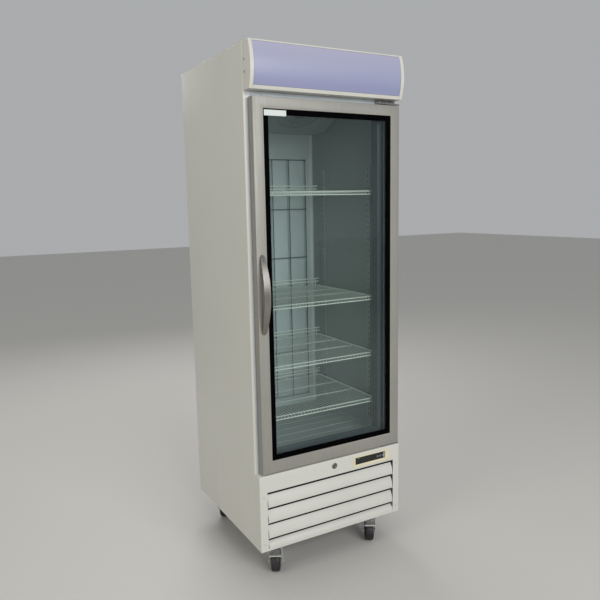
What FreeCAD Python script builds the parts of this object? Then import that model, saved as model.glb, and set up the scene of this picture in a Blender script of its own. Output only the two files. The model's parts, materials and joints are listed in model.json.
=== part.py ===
import FreeCAD, Part
import math
import os
import re
import Sketcher

# Upright glass-door refrigerated merchandiser on casters.
# Millimetres. Z is up, the door faces -Y, +X is to the right of somebody facing the door.
# The origin is on the floor, under the middle of the whole object's footprint.

SIZES = {
    # cabinet
    "cab_width": 686,          # outside, skin to skin
    "cab_depth": 650,          # front face of the cabinet to its back
    "cab_height": 1955,        # without the casters
    "caster_height": 130,
    "handle_reach": 80,        # how far the handle stands out of the cabinet's front face
    "skin": 1.5,               # sheet steel
    "lip": 13,                 # side panels fold round the front and back corners by this much
    "rear_recess": 2,          # back panel and rear cover lie behind the side panels' lips
    # insulated box
    "inner_width": 600,
    "inner_back": 609,
    "inner_floor": 352,
    "inner_ceiling": 1890,
    "liner": 2,
    "deck_height": 302,        # top of the machine compartment
    "jamb_depth": 45,
    "mouth_width": 516,
    "mouth_low": 390,
    "mouth_high": 1735,
    "floor_rib_pitch": 65,
    "floor_rib_high": 4,
    "floor_rib_wide": 12,
    # door
    "door_left": -326,
    "door_right": 337,
    "door_low": 323,
    "door_high": 1762,
    "door_front": 40,
    "door_back": 8,
    "glass_left": -283,
    "glass_right": 295.5,
    "glass_low": 373,
    "glass_high": 1721,
    "glass_fit": 0.4,
    "glass_set_back": 4,
    "pane": 4,
    "pane_gap": 14,
    "border": 21,
    "gasket_inset": 5,
    "gasket_hinge_inset": 16,
    "gasket_wide": 22,
    "gasket_air": 0.5,
    "pivot_x": 323,
    "pivot_y": 22,
    "pin_radius": 5,
    "pin_reach": 22,
    "running_gap": 0.05,
    # handle
    "handle_x": -304,
    "handle_low": 882,
    "handle_high": 1189,
    "handle_wide": 30,
    "handle_thick": 6,
    # sign box
    "sign_low": 1784,
    "sign_corner": 50,
    "sign_bulge": 67,
    "sign_width": 683,
    "sign_side": 15,
    "sign_bottom": 13,
    "sign_top": 6,
    "lens": 3,
    # grille
    "grille_high": 317,
    "grille_front": 40,
    "grille_sheet": 1.5,
    "louver_half": 310,
    "louver_top": 247,
    "louver_pitch": 65,
    "louver_open": 62,
    "louver_set_back": 14,
    "louver_gap": 8,
    # lock
    "lock_x": 5,
    "lock_z": 288,
    "lock_flange": 13,
    "lock_body": 9,
    "plug_radius": 6,
    "bolt_travel": 12,
    # controller
    "bezel_left": 98,
    "bezel_right": 288,
    "bezel_low": 256,
    "bezel_high": 303,
    "window_left": 110,
    "window_right": 266,
    "window_low": 268,
    "window_high": 298,
    "button_wide": 10,
    "button_tall": 8,
    "button_pitch": 14,
    # shelves
    "shelf_half": 285,
    "shelf_front": 58,
    "shelf_back": 530,
    "shelf_wire": 1.6,
    "shelf_rim": 3,
    "shelf_pitch": 15.8,
    "guard_high": 36,
    "pilaster_wide": 26,
    "pilaster_deep": 6,
    "pilaster_front": 121,
    "pilaster_rear": 500,
    "pilaster_low": 400,
    "pilaster_high": 1530,
    "slot_pitch": 25,
    "rear_guard_y": 590,
    # evaporator
    "evap_low": 1707,
    "evap_bend": 475,
    "evap_front": 160,
    "evap_slope": 25.45,       # degrees
    "evap_half": 290,
    "evap_fan_x": 90,
    "evap_fan_y": 345,
    "evap_fan_radius": 92,
    # condensing unit
    "cond_fan_z": 160,
    "cond_fan_y": 150,
    "cond_fan_radius": 112,
    # casters
    "caster_x": 236,
    "caster_front": 45,
    "caster_rear": 595,
    "caster_plate": 4,
    "wheel_radius": 45,
    "wheel_wide": 38,
    "trail": 32,
    "axle_radius": 5,
    "kingpin_radius": 6,
    "fork_top": 113,
    "fork_sheet": 3,
}
SHELF_LEVELS = (1421, 969, 720, 510)     # height of each deck above the cabinet's bottom
CASTER_TURN = -30                        # degrees: how the casters stand at rest

# Formulas for the planes that everything is measured from.
FRONT = "((handle_reach - cab_depth) / 2)"
BACK = "((handle_reach + cab_depth) / 2)"
HALF = "(cab_width / 2)"
BASE = "caster_height"

doc = FreeCAD.newDocument("merchandiser")
parts = []


def make_sheet():
    """Put every driving size in one spreadsheet, each under its own alias."""
    sheet = doc.addObject("Spreadsheet::Sheet", "Sizes")
    for row, (alias, size) in enumerate(SIZES.items(), start=1):
        sheet.set("A%d" % row, alias)
        sheet.set("B%d" % row, str(size))
        sheet.setAlias("B%d" % row, alias)
    doc.recompute()
    return sheet


# ---------------------------------------------------------------- drawing helpers

def linked(formula):
    """Point each size name in a formula at the spreadsheet."""
    def point(word):
        name = word.group()
        return "Sizes." + name if name in SIZES else name
    return re.sub(r"[A-Za-z_][A-Za-z_0-9]*", point, str(formula))


def bind(item, prop, formula):
    item.setExpression(prop, linked(formula))


def place(item, spot, turn=None):
    """Put an item at a spot given by three formulas, turned first if asked."""
    if turn is not None:
        item.Placement.Rotation = turn
    for axis, formula in zip("xyz", spot):
        bind(item, "Placement.Base." + axis, formula)
    return item


def y_at(distance):
    """Depth measured back from the cabinet's front face."""
    return "%s + (%s)" % (FRONT, distance)


def z_at(height):
    """Height measured from the cabinet's bottom."""
    return "%s + (%s)" % (BASE, height)


def box(x_span, y_span, z_span):
    item = doc.addObject("Part::Box", "Block")
    spans = (x_span, y_span, z_span)
    for prop, (low, high) in zip(("Length", "Width", "Height"), spans):
        bind(item, prop, "(%s) - (%s)" % (high, low))
    return place(item, [low for low, high in spans])


def block(x_span, y_span, z_span):
    """A box given in the cabinet's own depths and heights."""
    return box(x_span, [y_at(y) for y in y_span], [z_at(z) for z in z_span])


AXIS_TURN = {
    "x": FreeCAD.Rotation(FreeCAD.Vector(0, 1, 0), 90),
    "y": FreeCAD.Rotation(FreeCAD.Vector(1, 0, 0), -90),
    "z": FreeCAD.Rotation(),
}


def rod(axis, spot, radius, length):
    """A cylinder that starts at a spot and runs along +axis."""
    item = doc.addObject("Part::Cylinder", "Rod")
    bind(item, "Radius", radius)
    bind(item, "Height", length)
    return place(item, spot, AXIS_TURN[axis])


def ball(spot, radius):
    item = doc.addObject("Part::Sphere", "Ball")
    bind(item, "Radius", radius)
    return place(item, spot)


def fuse(*items):
    if len(items) == 1:
        return items[0]
    item = doc.addObject("Part::MultiFuse", "Joined")
    item.Shapes = list(items)
    return item


def cut(base, *tools):
    item = doc.addObject("Part::Cut", "Cut")
    item.Base = base
    item.Tool = fuse(*tools)
    return item


def common(first, second):
    item = doc.addObject("Part::MultiCommon", "Shared")
    item.Shapes = [first, second]
    return item


def group(*items):
    """Separate solids kept in one sub-part."""
    item = doc.addObject("Part::Compound", "Group")
    item.Links = list(items)
    return item


def mirrored(item, normal, spot="0"):
    """A mirror image across the plane through spot that has this normal axis."""
    twin = doc.addObject("Part::Mirroring", "Mirrored")
    twin.Source = item
    twin.Normal = FreeCAD.Vector(*[1 if axis == normal else 0 for axis in "xyz"])
    bind(twin, "Base." + normal, spot)
    return twin


def plane_of(body, role):
    return [feature for feature in body.Origin.OriginFeatures if feature.Role == role][0]


def outline(body, role, corners):
    """A closed polygon on one of the body's origin planes, each corner held by two formulas."""
    sketch = body.newObject("Sketcher::SketchObject", "Outline")
    sketch.AttachmentSupport = (plane_of(body, role), [""])
    sketch.MapMode = "FlatFace"
    count = len(corners)
    start = [FreeCAD.Vector(math.cos(2 * math.pi * i / count), math.sin(2 * math.pi * i / count), 0)
             for i in range(count)]
    for i in range(count):
        sketch.addGeometry(Part.LineSegment(start[i], start[(i + 1) % count]), False)
    for i in range(count):
        sketch.addConstraint(Sketcher.Constraint("Coincident", i, 2, (i + 1) % count, 1))
    for i, (across, up) in enumerate(corners):
        for kind, formula, value in (("DistanceX", across, start[i].x), ("DistanceY", up, start[i].y)):
            name = "%s%d" % (kind.lower(), i)
            index = sketch.addConstraint(Sketcher.Constraint(kind, -1, 1, i, 1, value))
            sketch.renameConstraint(index, name)
            bind(sketch, "Constraints." + name, formula)
    return sketch


def extrusion(role, corners, depth, spot=("0", "0", "0"), turn=None):
    """A body made by padding one outline towards the positive axis."""
    body = doc.addObject("PartDesign::Body", "Body")
    sketch = outline(body, role, corners)
    pad = body.newObject("PartDesign::Pad", "Pad")
    pad.Profile = sketch
    pad.Reversed = role == "XZ_Plane"
    bind(pad, "Length", depth)
    return place(body, spot, turn)


def turned(corners, spot=("0", "0", "0"), turn=None):
    """A body made by turning one outline (radius, height) about its own Z axis."""
    body = doc.addObject("PartDesign::Body", "Body")
    sketch = outline(body, "XZ_Plane", corners)
    lathe = body.newObject("PartDesign::Revolution", "Revolution")
    lathe.Profile = sketch
    lathe.ReferenceAxis = (sketch, ["V_Axis"])
    lathe.Angle = 360
    return place(body, spot, turn)


def part(name, item):
    """Declare a finished sub-part."""
    item.Label = name
    parts.append(item)
    return item


# ---------------------------------------------------------------- cabinet shell

def side_panel(name, side):
    """Sheet folded inwards at the front and back corners."""
    sign = "-" if side < 0 else ""
    outer = "%s%s" % (sign, HALF)
    inner = "%s(%s - skin)" % (sign, HALF)
    lip_end = "%s(%s - lip)" % (sign, HALF)
    corners = [(outer, FRONT), (lip_end, FRONT), (lip_end, FRONT + " + skin"), (inner, FRONT + " + skin"),
               (inner, BACK + " - skin"), (lip_end, BACK + " - skin"), (lip_end, BACK), (outer, BACK)]
    part(name, extrusion("XY_Plane", corners, "cab_height - skin", ("0", "0", BASE)))


def shell():
    side_panel("left_side_panel", -1)
    side_panel("right_side_panel", 1)
    part("top_panel", block(("-" + HALF, HALF), ("0", "cab_depth"), ("cab_height - skin", "cab_height")))
    between = ("lip - " + HALF, HALF + " - lip")
    part("back_panel", block(between, ("cab_depth - rear_recess - skin", "cab_depth - rear_recess"),
                             ("deck_height", "cab_height - skin")))


def rear_cover():
    """Louvred cover of the machine compartment, with the gland that the supply lead comes through."""
    sheet_y = ("cab_depth - rear_recess - skin", "cab_depth - rear_recess")
    sheet = block(("lip - " + HALF, HALF + " - lip"), sheet_y, ("18", "deck_height - 1"))
    slots = []
    for row in range(9):
        for left in (-270, 30):
            low = 60 + 24 * row
            slots.append(block((left, left + 240), ("cab_depth - 10", "cab_depth + 10"), (low, low + 8)))
    gland_spot = ("300", y_at("cab_depth - 40"), z_at("150"))
    hole = rod("y", gland_spot, "9.4", "50")
    cover = cut(sheet, hole, *slots)
    gland_flange = rod("y", ("300", y_at("cab_depth - 2"), z_at("150")), "13", "1.8")
    gland = cut(fuse(rod("y", gland_spot, "9", "39"), gland_flange), rod("y", gland_spot, "4", "60"))
    part("rear_cover", group(cover, gland))


def base_chassis():
    """Bottom plate with a cross channel over each pair of casters."""
    inside = ("skin - " + HALF, HALF + " - skin")
    plate = block(inside, ("skin", "cab_depth - rear_recess - skin"), ("0", "3"))
    front_channel = block(inside, ("10", "85"), ("3", "16"))
    rear_channel = block(inside, ("560", "635"), ("3", "16"))
    part("base_chassis", fuse(plate, front_channel, rear_channel))


def liner():
    """Five-sided inner liner with cross ribs pressed up in its floor."""
    half = "(inner_width / 2)"
    outer = block(("-%s - liner" % half, half + " + liner"), ("jamb_depth", "inner_back + liner"),
                  ("inner_floor - liner", "inner_ceiling + liner"))
    inner = block(("-" + half, half), ("jamb_depth - 10", "inner_back"), ("inner_floor", "inner_ceiling"))
    ribs = []
    for row in range(8):
        middle = "jamb_depth + 60 + floor_rib_pitch * %d" % row
        ribs.append(block(("15 - " + half, half + " - 15"),
                          (middle + " - floor_rib_wide / 2", middle + " + floor_rib_wide / 2"),
                          ("inner_floor - liner / 2", "inner_floor + floor_rib_high")))
    part("inner_liner", fuse(cut(outer, inner), *ribs))


def foam():
    """Insulation slabs between the liner and the outer sheet."""
    half = "(inner_width / 2 + liner)"
    skin_x = HALF + " - skin"
    back = "cab_depth - rear_recess - skin"
    top = "cab_height - skin"
    full = ("deck_height", top)
    slabs = [
        block(("-(%s)" % skin_x, "-" + half), ("jamb_depth", back), full),
        block((half, skin_x), ("jamb_depth", back), full),
        block(("-" + half, half), ("inner_back + liner", back), full),
        block(("-" + half, half), ("jamb_depth", "inner_back + liner"), ("inner_ceiling + liner", top)),
        block(("-" + half, half), ("jamb_depth", "inner_back + liner"), ("deck_height", "inner_floor - liner")),
    ]
    part("foam_insulation", group(*slabs))


def breaker_frame():
    """Moulded face frame round the door opening, which the door's gasket seals on."""
    skin_x = HALF + " - skin"
    face = block(("-(%s)" % skin_x, skin_x), ("skin", "jamb_depth"), ("deck_height", "cab_height - skin"))
    mouth = block(("-mouth_width / 2", "mouth_width / 2"), ("-10", "jamb_depth + 10"), ("mouth_low", "mouth_high"))
    part("breaker_frame", cut(face, mouth))


# ---------------------------------------------------------------- cabinet interior

def pilasters():
    """Four slotted strips that the shelf clips hook into."""
    strip = block(("-inner_width / 2", "pilaster_deep - inner_width / 2"),
                  ("pilaster_front - pilaster_wide / 2", "pilaster_front + pilaster_wide / 2"),
                  ("pilaster_low", "pilaster_high"))
    slots = []
    for row in range(45):
        low = "pilaster_low + 10 + slot_pitch * %d" % row
        slots.append(block(("3 - inner_width / 2", "10 - inner_width / 2"),
                           ("pilaster_front - 3", "pilaster_front + 3"), (low, low + " + 13")))
    front_left = cut(strip, *slots)
    front_right = mirrored(front_left, "x")
    middle = "%s + (pilaster_front + pilaster_rear) / 2" % FRONT
    rear = [mirrored(item, "y", middle) for item in (front_left, front_right)]
    part("shelf_pilasters", group(front_left, front_right, *rear))


def clip(side, depth, level):
    """Bent clip: a plate on the pilaster and a ledge under the shelf's rim."""
    def span(near, far):
        ends = ("inner_width / 2 - pilaster_deep - " + near, "inner_width / 2 - pilaster_deep - " + far)
        return (ends[1], ends[0]) if side > 0 else ("-(%s)" % ends[0], "-(%s)" % ends[1])
    under = "%d - shelf_rim - 0.3" % level
    wide = (depth + " - 9", depth + " + 9")
    plate = block(span("0.2", "2"), wide, (under + " - 16", under + " + 9"))
    ledge = block(span("0.2", "16"), wide, (under + " - 2", under))
    return fuse(plate, ledge)


def clips():
    every = [clip(side, depth, level) for level in SHELF_LEVELS for side in (-1, 1)
             for depth in ("pilaster_front", "pilaster_rear")]
    part("shelf_clips", group(*every))


def shelf(number, level):
    """Welded wire shelf: side rods, cross wires, close front-to-back wires, a front lip and a rear guard."""
    deck = z_at(level)
    centre = "shelf_half - shelf_rim"
    thin = "shelf_rim * 0.75"
    rods = [rod("y", (side, y_at("shelf_front"), deck), "shelf_rim", "shelf_back - shelf_front")
            for side in ("-(%s)" % centre, centre)]
    for depth in ("shelf_front + 3", "224", "368", "shelf_back - 3"):
        rods.append(rod("x", ("-(%s)" % centre, y_at(depth), deck), thin, "2 * (%s)" % centre))
    rods.append(rod("x", ("2 - shelf_half", y_at("shelf_front - 0.5"), deck + " - 12"), thin, "2 * shelf_half - 4"))
    for side in ("10 - shelf_half", "-shelf_pitch * 6.5", "shelf_pitch * 6.5", "shelf_half - 10"):
        rods.append(rod("z", (side, y_at("shelf_front + 0.6"), deck + " - 11.4"), "2", "10.6"))
    for row in range(-17, 18):
        rods.append(rod("y", ("shelf_pitch * %d" % row, y_at("shelf_front - 1"), deck + " + shelf_rim * 0.88"),
                        "shelf_wire", "shelf_back - shelf_front - 2"))
    for height in ("guard_high * 0.6", "guard_high"):
        rods.append(rod("x", ("8 - shelf_half", y_at("shelf_back - 9"), "%s + %s" % (deck, height)), "2.2",
                        "2 * shelf_half - 16"))
    for row in (-16.5, -11.5, -5.5, 0.5, 5.5, 11.5, 16.5):
        rods.append(rod("z", ("shelf_pitch * %.1f" % row, y_at("shelf_back - 6"), deck), "2", "guard_high + 1"))
    part("shelf_%d" % number, fuse(*rods))


def rear_wire_guard():
    """Welded grid that keeps goods off the back wall."""
    verticals = []
    for x in (-250, -159, -68, 68, 159, 250):
        verticals.append(rod("z", (x, y_at("rear_guard_y"), z_at("400")), "2.4", "1188"))
    levels = [1586 - 238 * row for row in range(5)] + [403]
    bars = [rod("x", ("-256", y_at("rear_guard_y + 3.6"), z_at(level)), "2", "512") for level in levels]
    feet = [rod("y", (x, y_at("rear_guard_y + 4"), z_at(level)), "3.5", "inner_back - rear_guard_y - 4")
            for x in (-250, 250) for level in (1586, 403)]
    part("rear_wire_guard", fuse(*(verticals + bars + feet)))


def interior_light():
    """LED strip behind the door header: an aluminium channel with a half-round cover."""
    channel = block(("-240", "240"), ("60", "86"), ("inner_ceiling - 14", "inner_ceiling"))
    cover = rod("x", ("-238", y_at("73"), z_at("inner_ceiling - 14")), "10", "476")
    part("interior_light", fuse(channel, cover))


# ---------------------------------------------------------------- evaporator

EVAP_TURN = FreeCAD.Rotation(FreeCAD.Vector(1, 0, 0), 180 - SIZES["evap_slope"])
EVAP_FAN = ("evap_fan_x", y_at("evap_fan_y"), z_at("evap_low + (evap_bend - evap_fan_y) * tan(evap_slope * 1 deg)"))


def evap_stand(items):
    """Move something drawn about its own Z axis on to the sloping face, Z pointing out and down."""
    return place(fuse(*items), EVAP_FAN, EVAP_TURN)


def evaporator():
    slope_rise = "(evap_bend - evap_front) * tan(evap_slope * 1 deg)"
    profile = [(y_at("inner_back - 0.5"), z_at("evap_low")), (y_at("evap_bend"), z_at("evap_low")),
               (y_at("evap_front"), z_at("evap_low + " + slope_rise)),
               (y_at("evap_front"), z_at("inner_ceiling - 0.5")), (y_at("inner_back - 0.5"), z_at("inner_ceiling - 0.5"))]
    inside = [(y_at("inner_back + 5"), z_at("evap_low + 2")), (y_at("evap_bend - 0.5"), z_at("evap_low + 2")),
              (y_at("evap_front + 2"), z_at("evap_low + 1 + " + slope_rise)),
              (y_at("evap_front + 2"), z_at("inner_ceiling + 5")), (y_at("inner_back + 5"), z_at("inner_ceiling + 5"))]
    outer = extrusion("YZ_Plane", profile, "2 * evap_half", ("-evap_half", "0", "0"))
    hollow = extrusion("YZ_Plane", inside, "2 * evap_half - 4", ("2 - evap_half", "0", "0"))
    hole = place(rod("z", ("0", "0", "0"), "evap_fan_radius + 4", "60"), ("0", "0", "-30"))
    cover = cut(cut(outer, hollow), evap_stand([hole]))
    rings = [cut(rod("z", ("0", "0", "6"), radius + " + 1.5", "3"), rod("z", ("0", "0", "5"), radius + " - 1.5", "5"))
             for radius in ("30", "62", "evap_fan_radius + 10")]
    reach = "evap_fan_radius + 11"
    bars = [box(("-(%s)" % reach, reach), ("-1.5", "1.5"), ("8", "11")),
            box(("-1.5", "1.5"), ("-(%s)" % reach, reach), ("4", "7"))]
    feet = [rod("z", ("(evap_fan_radius + 10) * %f" % math.cos(math.radians(a)),
                      "(evap_fan_radius + 10) * %f" % math.sin(math.radians(a)), "0.6"), "2.2", "7")
            for a in (45, 135, 225, 315)]
    part("evaporator_housing", group(cover, evap_stand(rings + bars + feet)))
    core = block(("-240", "240"), ("490", "590"), ("evap_low + 18", "inner_ceiling - 20"))
    bends = []
    for row in range(3):
        for side in (-252, 240):
            bends.append(rod("x", (side, y_at(515 + 25 * row), z_at("evap_low + 45 + 40 * %d" % row)), "5", "12"))
    part("evaporator_coil", fuse(core, *bends))


def fan_blade(name, blades, radius, hub, thick, stand):
    """Hub with flat pitched blades, drawn about Z and stood on its shaft."""
    core = rod("z", ("0", "0", "-%s / 2" % thick), hub, thick)
    vanes = []
    for number in range(blades):
        vane = doc.addObject("Part::Box", "Vane")
        bind(vane, "Length", "%s - %s * 0.8" % (radius, hub))
        bind(vane, "Width", "%s * 0.62" % radius)
        vane.Height = 1.5
        pitch = FreeCAD.Rotation(FreeCAD.Vector(1, 0, 0), 24)
        sweep = FreeCAD.Rotation(FreeCAD.Vector(0, 0, 1), number * 360 / blades)
        vane.Placement = FreeCAD.Placement(FreeCAD.Vector(), sweep * pitch)
        spot = sweep.multVec(FreeCAD.Vector(1, 0, 0))
        offset = sweep.multVec(FreeCAD.Vector(0, -1, 0))
        drop = "-%s * 0.126" % radius
        place(vane, ("%s * 0.8 * %f + %s * 0.28 * %f" % (hub, spot.x, radius, offset.x),
                     "%s * 0.8 * %f + %s * 0.28 * %f" % (hub, spot.y, radius, offset.y), drop))
        vanes.append(vane)
    disc = place(rod("z", ("0", "0", "0"), radius, "80"), ("0", "0", "-40"))
    part(name, stand([common(fuse(core, *vanes), disc)]))


def evaporator_fan():
    fan_blade("evaporator_fan_blade", 5, "evap_fan_radius * 0.94", "22", "18", evap_stand_blade)
    motor = rod("z", ("0", "0", "-92"), "30", "50")
    shaft = rod("z", ("0", "0", "-44"), "4", "8")
    arm = [box(("-evap_fan_radius - 20", "evap_fan_radius + 20"), ("-8", "8"), ("-62", "-58")),
           box(("-evap_fan_radius - 20", "-evap_fan_radius - 17"), ("-8", "8"), ("-58", "-2.5")),
           box(("evap_fan_radius + 17", "evap_fan_radius + 20"), ("-8", "8"), ("-58", "-2.5"))]
    part("evaporator_fan_motor", evap_stand([motor, shaft] + arm))


def evap_stand_blade(items):
    """The blade turns a little way behind the sloping face."""
    fan = items[0]
    lift = doc.addObject("Part::Compound", "Lifted")
    lift.Links = [fan]
    lift.Placement.Base = FreeCAD.Vector(0, 0, -24)
    carrier = doc.addObject("Part::Compound", "Carrier")
    carrier.Links = [lift]
    return place(carrier, EVAP_FAN, EVAP_TURN)


# ---------------------------------------------------------------- condensing unit

def condensing_unit():
    profile = [("0", "28"), ("58", "28"), ("78", "42"), ("80", "60"), ("80", "150"), ("76", "172"),
               ("58", "190"), ("0", "198")]
    can = turned(profile, ("-170", y_at("430"), BASE))
    feet = [rod("z", (x, y, z_at("16.2")), "11", "20") for x in (-232, -108) for y in (y_at("368"), y_at("492"))]
    rail = [box((x - 12, x + 12), (y_at("355"), y_at("505")), (z_at("26"), z_at("30"))) for x in (-232, -108)]
    cross = box(("-244", "-96"), (y_at("420"), y_at("440")), (z_at("24"), z_at("29")))
    part("compressor", fuse(can, cross, *(feet + rail)))
    core = block(("-170", "170"), ("70", "112"), ("25", "292"))
    ends = []
    for row in range(6):
        for side in (-182, 170):
            ends.append(rod("x", (side, y_at("91"), z_at(48 + 42 * row)), "5", "12"))
    part("condenser_coil", fuse(core, *ends))
    plate = block(("-150", "150"), ("114", "116"), ("25", "292"))
    collar = rod("y", ("0", y_at("114"), z_at("cond_fan_z")), "cond_fan_radius + 8", "44")
    eye = rod("y", ("0", y_at("100"), z_at("cond_fan_z")), "cond_fan_radius + 5", "80")
    part("condenser_fan_shroud", cut(fuse(plate, collar), eye))
    motor = rod("y", ("0", y_at("168"), z_at("cond_fan_z")), "38", "60")
    shaft = rod("y", ("0", y_at("161.5"), z_at("cond_fan_z")), "4", "8")
    arms = [block(("-cond_fan_radius - 20", "cond_fan_radius + 20"), ("172", "176"),
                  ("cond_fan_z - 9", "cond_fan_z + 9"))]
    for side in ("-cond_fan_radius - 20", "cond_fan_radius + 16"):
        arms.append(block((side, side + " + 4"), ("116.2", "173"), ("cond_fan_z - 9", "cond_fan_z + 9")))
    part("condenser_fan_motor", fuse(motor, shaft, *arms))
    fan_blade("condenser_fan_blade", 5, "(cond_fan_radius - 3)", "26", "20", cond_stand)
    outer = block(("-20", "290"), ("440", "630"), ("18", "62"))
    basin = block(("-18", "288"), ("442", "628"), ("20", "70"))
    part("drain_pan", cut(outer, basin))
    case = block(("190", "320"), ("150", "340"), ("17", "120"))
    relay = block(("200", "260"), ("170", "230"), ("119", "150"))
    part("control_box", fuse(case, relay))


def cond_stand(items):
    carrier = doc.addObject("Part::Compound", "Carrier")
    carrier.Links = items
    return place(carrier, ("0", y_at("cond_fan_y"), z_at("cond_fan_z")), AXIS_TURN["y"])


def pipe(points, radius):
    """Tube along runs parallel to the axes, with a round elbow at each turn."""
    pieces = []
    for first, second in zip(points, points[1:]):
        axis = [name for name, a, b in zip("xyz", first, second) if a != b][0]
        low = min(first, second)
        length = abs(sum(b - a for a, b in zip(first, second)))
        pieces.append(rod(axis, (low[0], y_at(low[1]), z_at(low[2])), radius, length))
    for corner in points[1:-1]:
        pieces.append(ball((corner[0], y_at(corner[1]), z_at(corner[2])), "%s * 1.08" % radius))
    return fuse(*pieces)


def refrigerant_lines():
    discharge = [(-194, 91, 48), (-260, 91, 48), (-260, 300, 48), (-260, 300, 110), (-260, 430, 110), (-251, 430, 110)]
    liquid = [(182.2, 91, 258), (200, 91, 258), (200, 380, 258), (-90, 380, 258), (-90, 560, 258)]
    suction = [(-89.5, 430, 90), (-50, 430, 90), (-50, 430, 280), (-50, 560, 280)]
    part("refrigerant_lines", group(pipe(discharge, "4"), pipe(liquid, "3"), pipe(suction, "5")))


# ---------------------------------------------------------------- sign box

def sign():
    """Light box across the top of the front: a bowed frame, a curved lens and a lamp."""
    radius = "(((cab_height - sign_low) / 2)^2 + (sign_bulge - sign_corner)^2) / (2 * (sign_bulge - sign_corner))"
    half = "sign_width / 2"
    middle = "(sign_low + cab_height) / 2"

    def bow(inset, reach, side_gap):
        start = ("-%s - 5 + %s" % (half, side_gap), y_at("(%s) - sign_bulge" % radius), z_at(middle))
        return rod("x", start, "(%s) - %s" % (radius, inset), reach)

    slab = block(("-" + half, half), ("-sign_bulge - 5", "0"), ("sign_low", "cab_height"))
    case = common(slab, bow("0", "sign_width + 10", "0"))
    hollow = block(("sign_side - " + half, half + " - sign_side"), ("-sign_bulge - 10", "-4"),
                   ("sign_low + sign_bottom", "cab_height - sign_top"))
    pads = []
    for side in ("-sign_width / 2 - 1", "sign_width / 2 - 1"):
        for height in (1846, 1889):
            pads.append(rod("x", (side, y_at("-18"), z_at(height)), "8", "2"))
        pads.append(block((side, side + " + 2"), ("-26", "-10"), ("1846", "1889")))
    part("sign_housing", fuse(cut(case, hollow), *pads))
    lens_slab = block(("sign_side + 0.5 - " + half, half + " - sign_side - 0.5"), ("-sign_bulge - 5", "-40"),
                      ("sign_low + sign_bottom + 0.5", "cab_height - sign_top - 0.5"))
    layer = cut(bow("1.5", "sign_width + 10", "0"), bow("1.5 - lens", "sign_width + 20", "-5"))
    part("sign_panel", common(lens_slab, layer))
    tube = rod("x", ("-295", y_at("-26"), z_at(middle)), "13", "590")
    sockets = [block((left, left + 16), ("-42", "-4"), (middle + " - 16", middle + " + 16")) for left in (-310, 294)]
    part("sign_lamp", fuse(tube, *sockets))


# ---------------------------------------------------------------- grille, lock and controller

def grille():
    """Folded front panel with sloping louvres, open behind."""
    outer = block(("-" + HALF, HALF), ("-grille_front", "0"), ("0", "grille_high"))
    inner = block(("grille_sheet - " + HALF, HALF + " - grille_sheet"), ("grille_sheet - grille_front", "10"),
                  ("-10", "grille_high - grille_sheet"))
    lock_hole = rod("y", ("lock_x", y_at("-grille_front - 10"), z_at("lock_z")), "lock_body + 0.3", "25")
    bolt_hole = block(("lock_x - 8", "lock_x + 8"), ("-32", "-3"), ("grille_high - 10", "grille_high + 10"))
    display_hole = block(("window_left", "window_right"), ("-grille_front - 5", "5 - grille_front"),
                         ("window_low", "window_high"))
    openings = []
    blades = []
    for row in range(4):
        top = "louver_top - louver_pitch * %d" % row
        low = "%s - %s" % (top, "louver_open" if row < 3 else "louver_open * 0.72")
        openings.append(block(("-louver_half", "louver_half"), ("-grille_front - 5", "5 - grille_front"), (low, top)))
        crest = top + " - louver_gap"
        corners = [(y_at("-grille_front"), z_at(low + " - 0.5")), (y_at("2 - grille_front"), z_at(low + " - 0.5")),
                   (y_at("louver_set_back + 1.5 - grille_front"), z_at(crest)),
                   (y_at("louver_set_back - grille_front"), z_at(crest)),
                   (y_at("-grille_front"), z_at(low + " + 3"))]
        blades.append(extrusion("YZ_Plane", corners, "2 * louver_half - 6", ("3 - louver_half", "0", "0")))
    shell_cut = cut(outer, inner, lock_hole, bolt_hole, display_hole, *openings)
    part("grille_panel", fuse(shell_cut, *blades))


def lock():
    spot = ("lock_x", y_at("-grille_front - 1.5"), z_at("lock_z"))
    flange = rod("y", spot, "lock_flange", "1.5")
    barrel = rod("y", spot, "lock_body", "30")
    bore = rod("y", ("lock_x", y_at("-grille_front - 5"), z_at("lock_z")), "plug_radius + running_gap", "50")
    part("lock_barrel", cut(fuse(flange, barrel), bore))
    plug = rod("y", ("lock_x", y_at("-grille_front - 2"), z_at("lock_z")), "plug_radius", "33.5")
    keyway = block(("lock_x - 1", "lock_x + 1"), ("-grille_front - 5", "-grille_front + 6"),
                   ("lock_z - 4.5", "lock_z + 4.5"))
    cam = rod("y", ("lock_x", y_at("-11"), z_at("lock_z")), "9", "2.5")
    part("lock_plug", fuse(cut(plug, keyway), cam))
    strap = block(("lock_x - 7", "lock_x + 7"), ("-8", "-5"), ("lock_z - 10", "lock_z + 18"))
    bridge = block(("lock_x - 7", "lock_x + 7"), ("-30", "-5"), ("lock_z + 12", "lock_z + 18"))
    bolt = block(("lock_x - 6", "lock_x + 6"), ("-30", "-18"), ("lock_z + 12", "lock_z + 31"))
    part("lock_bolt", fuse(strap, bridge, bolt))


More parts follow.
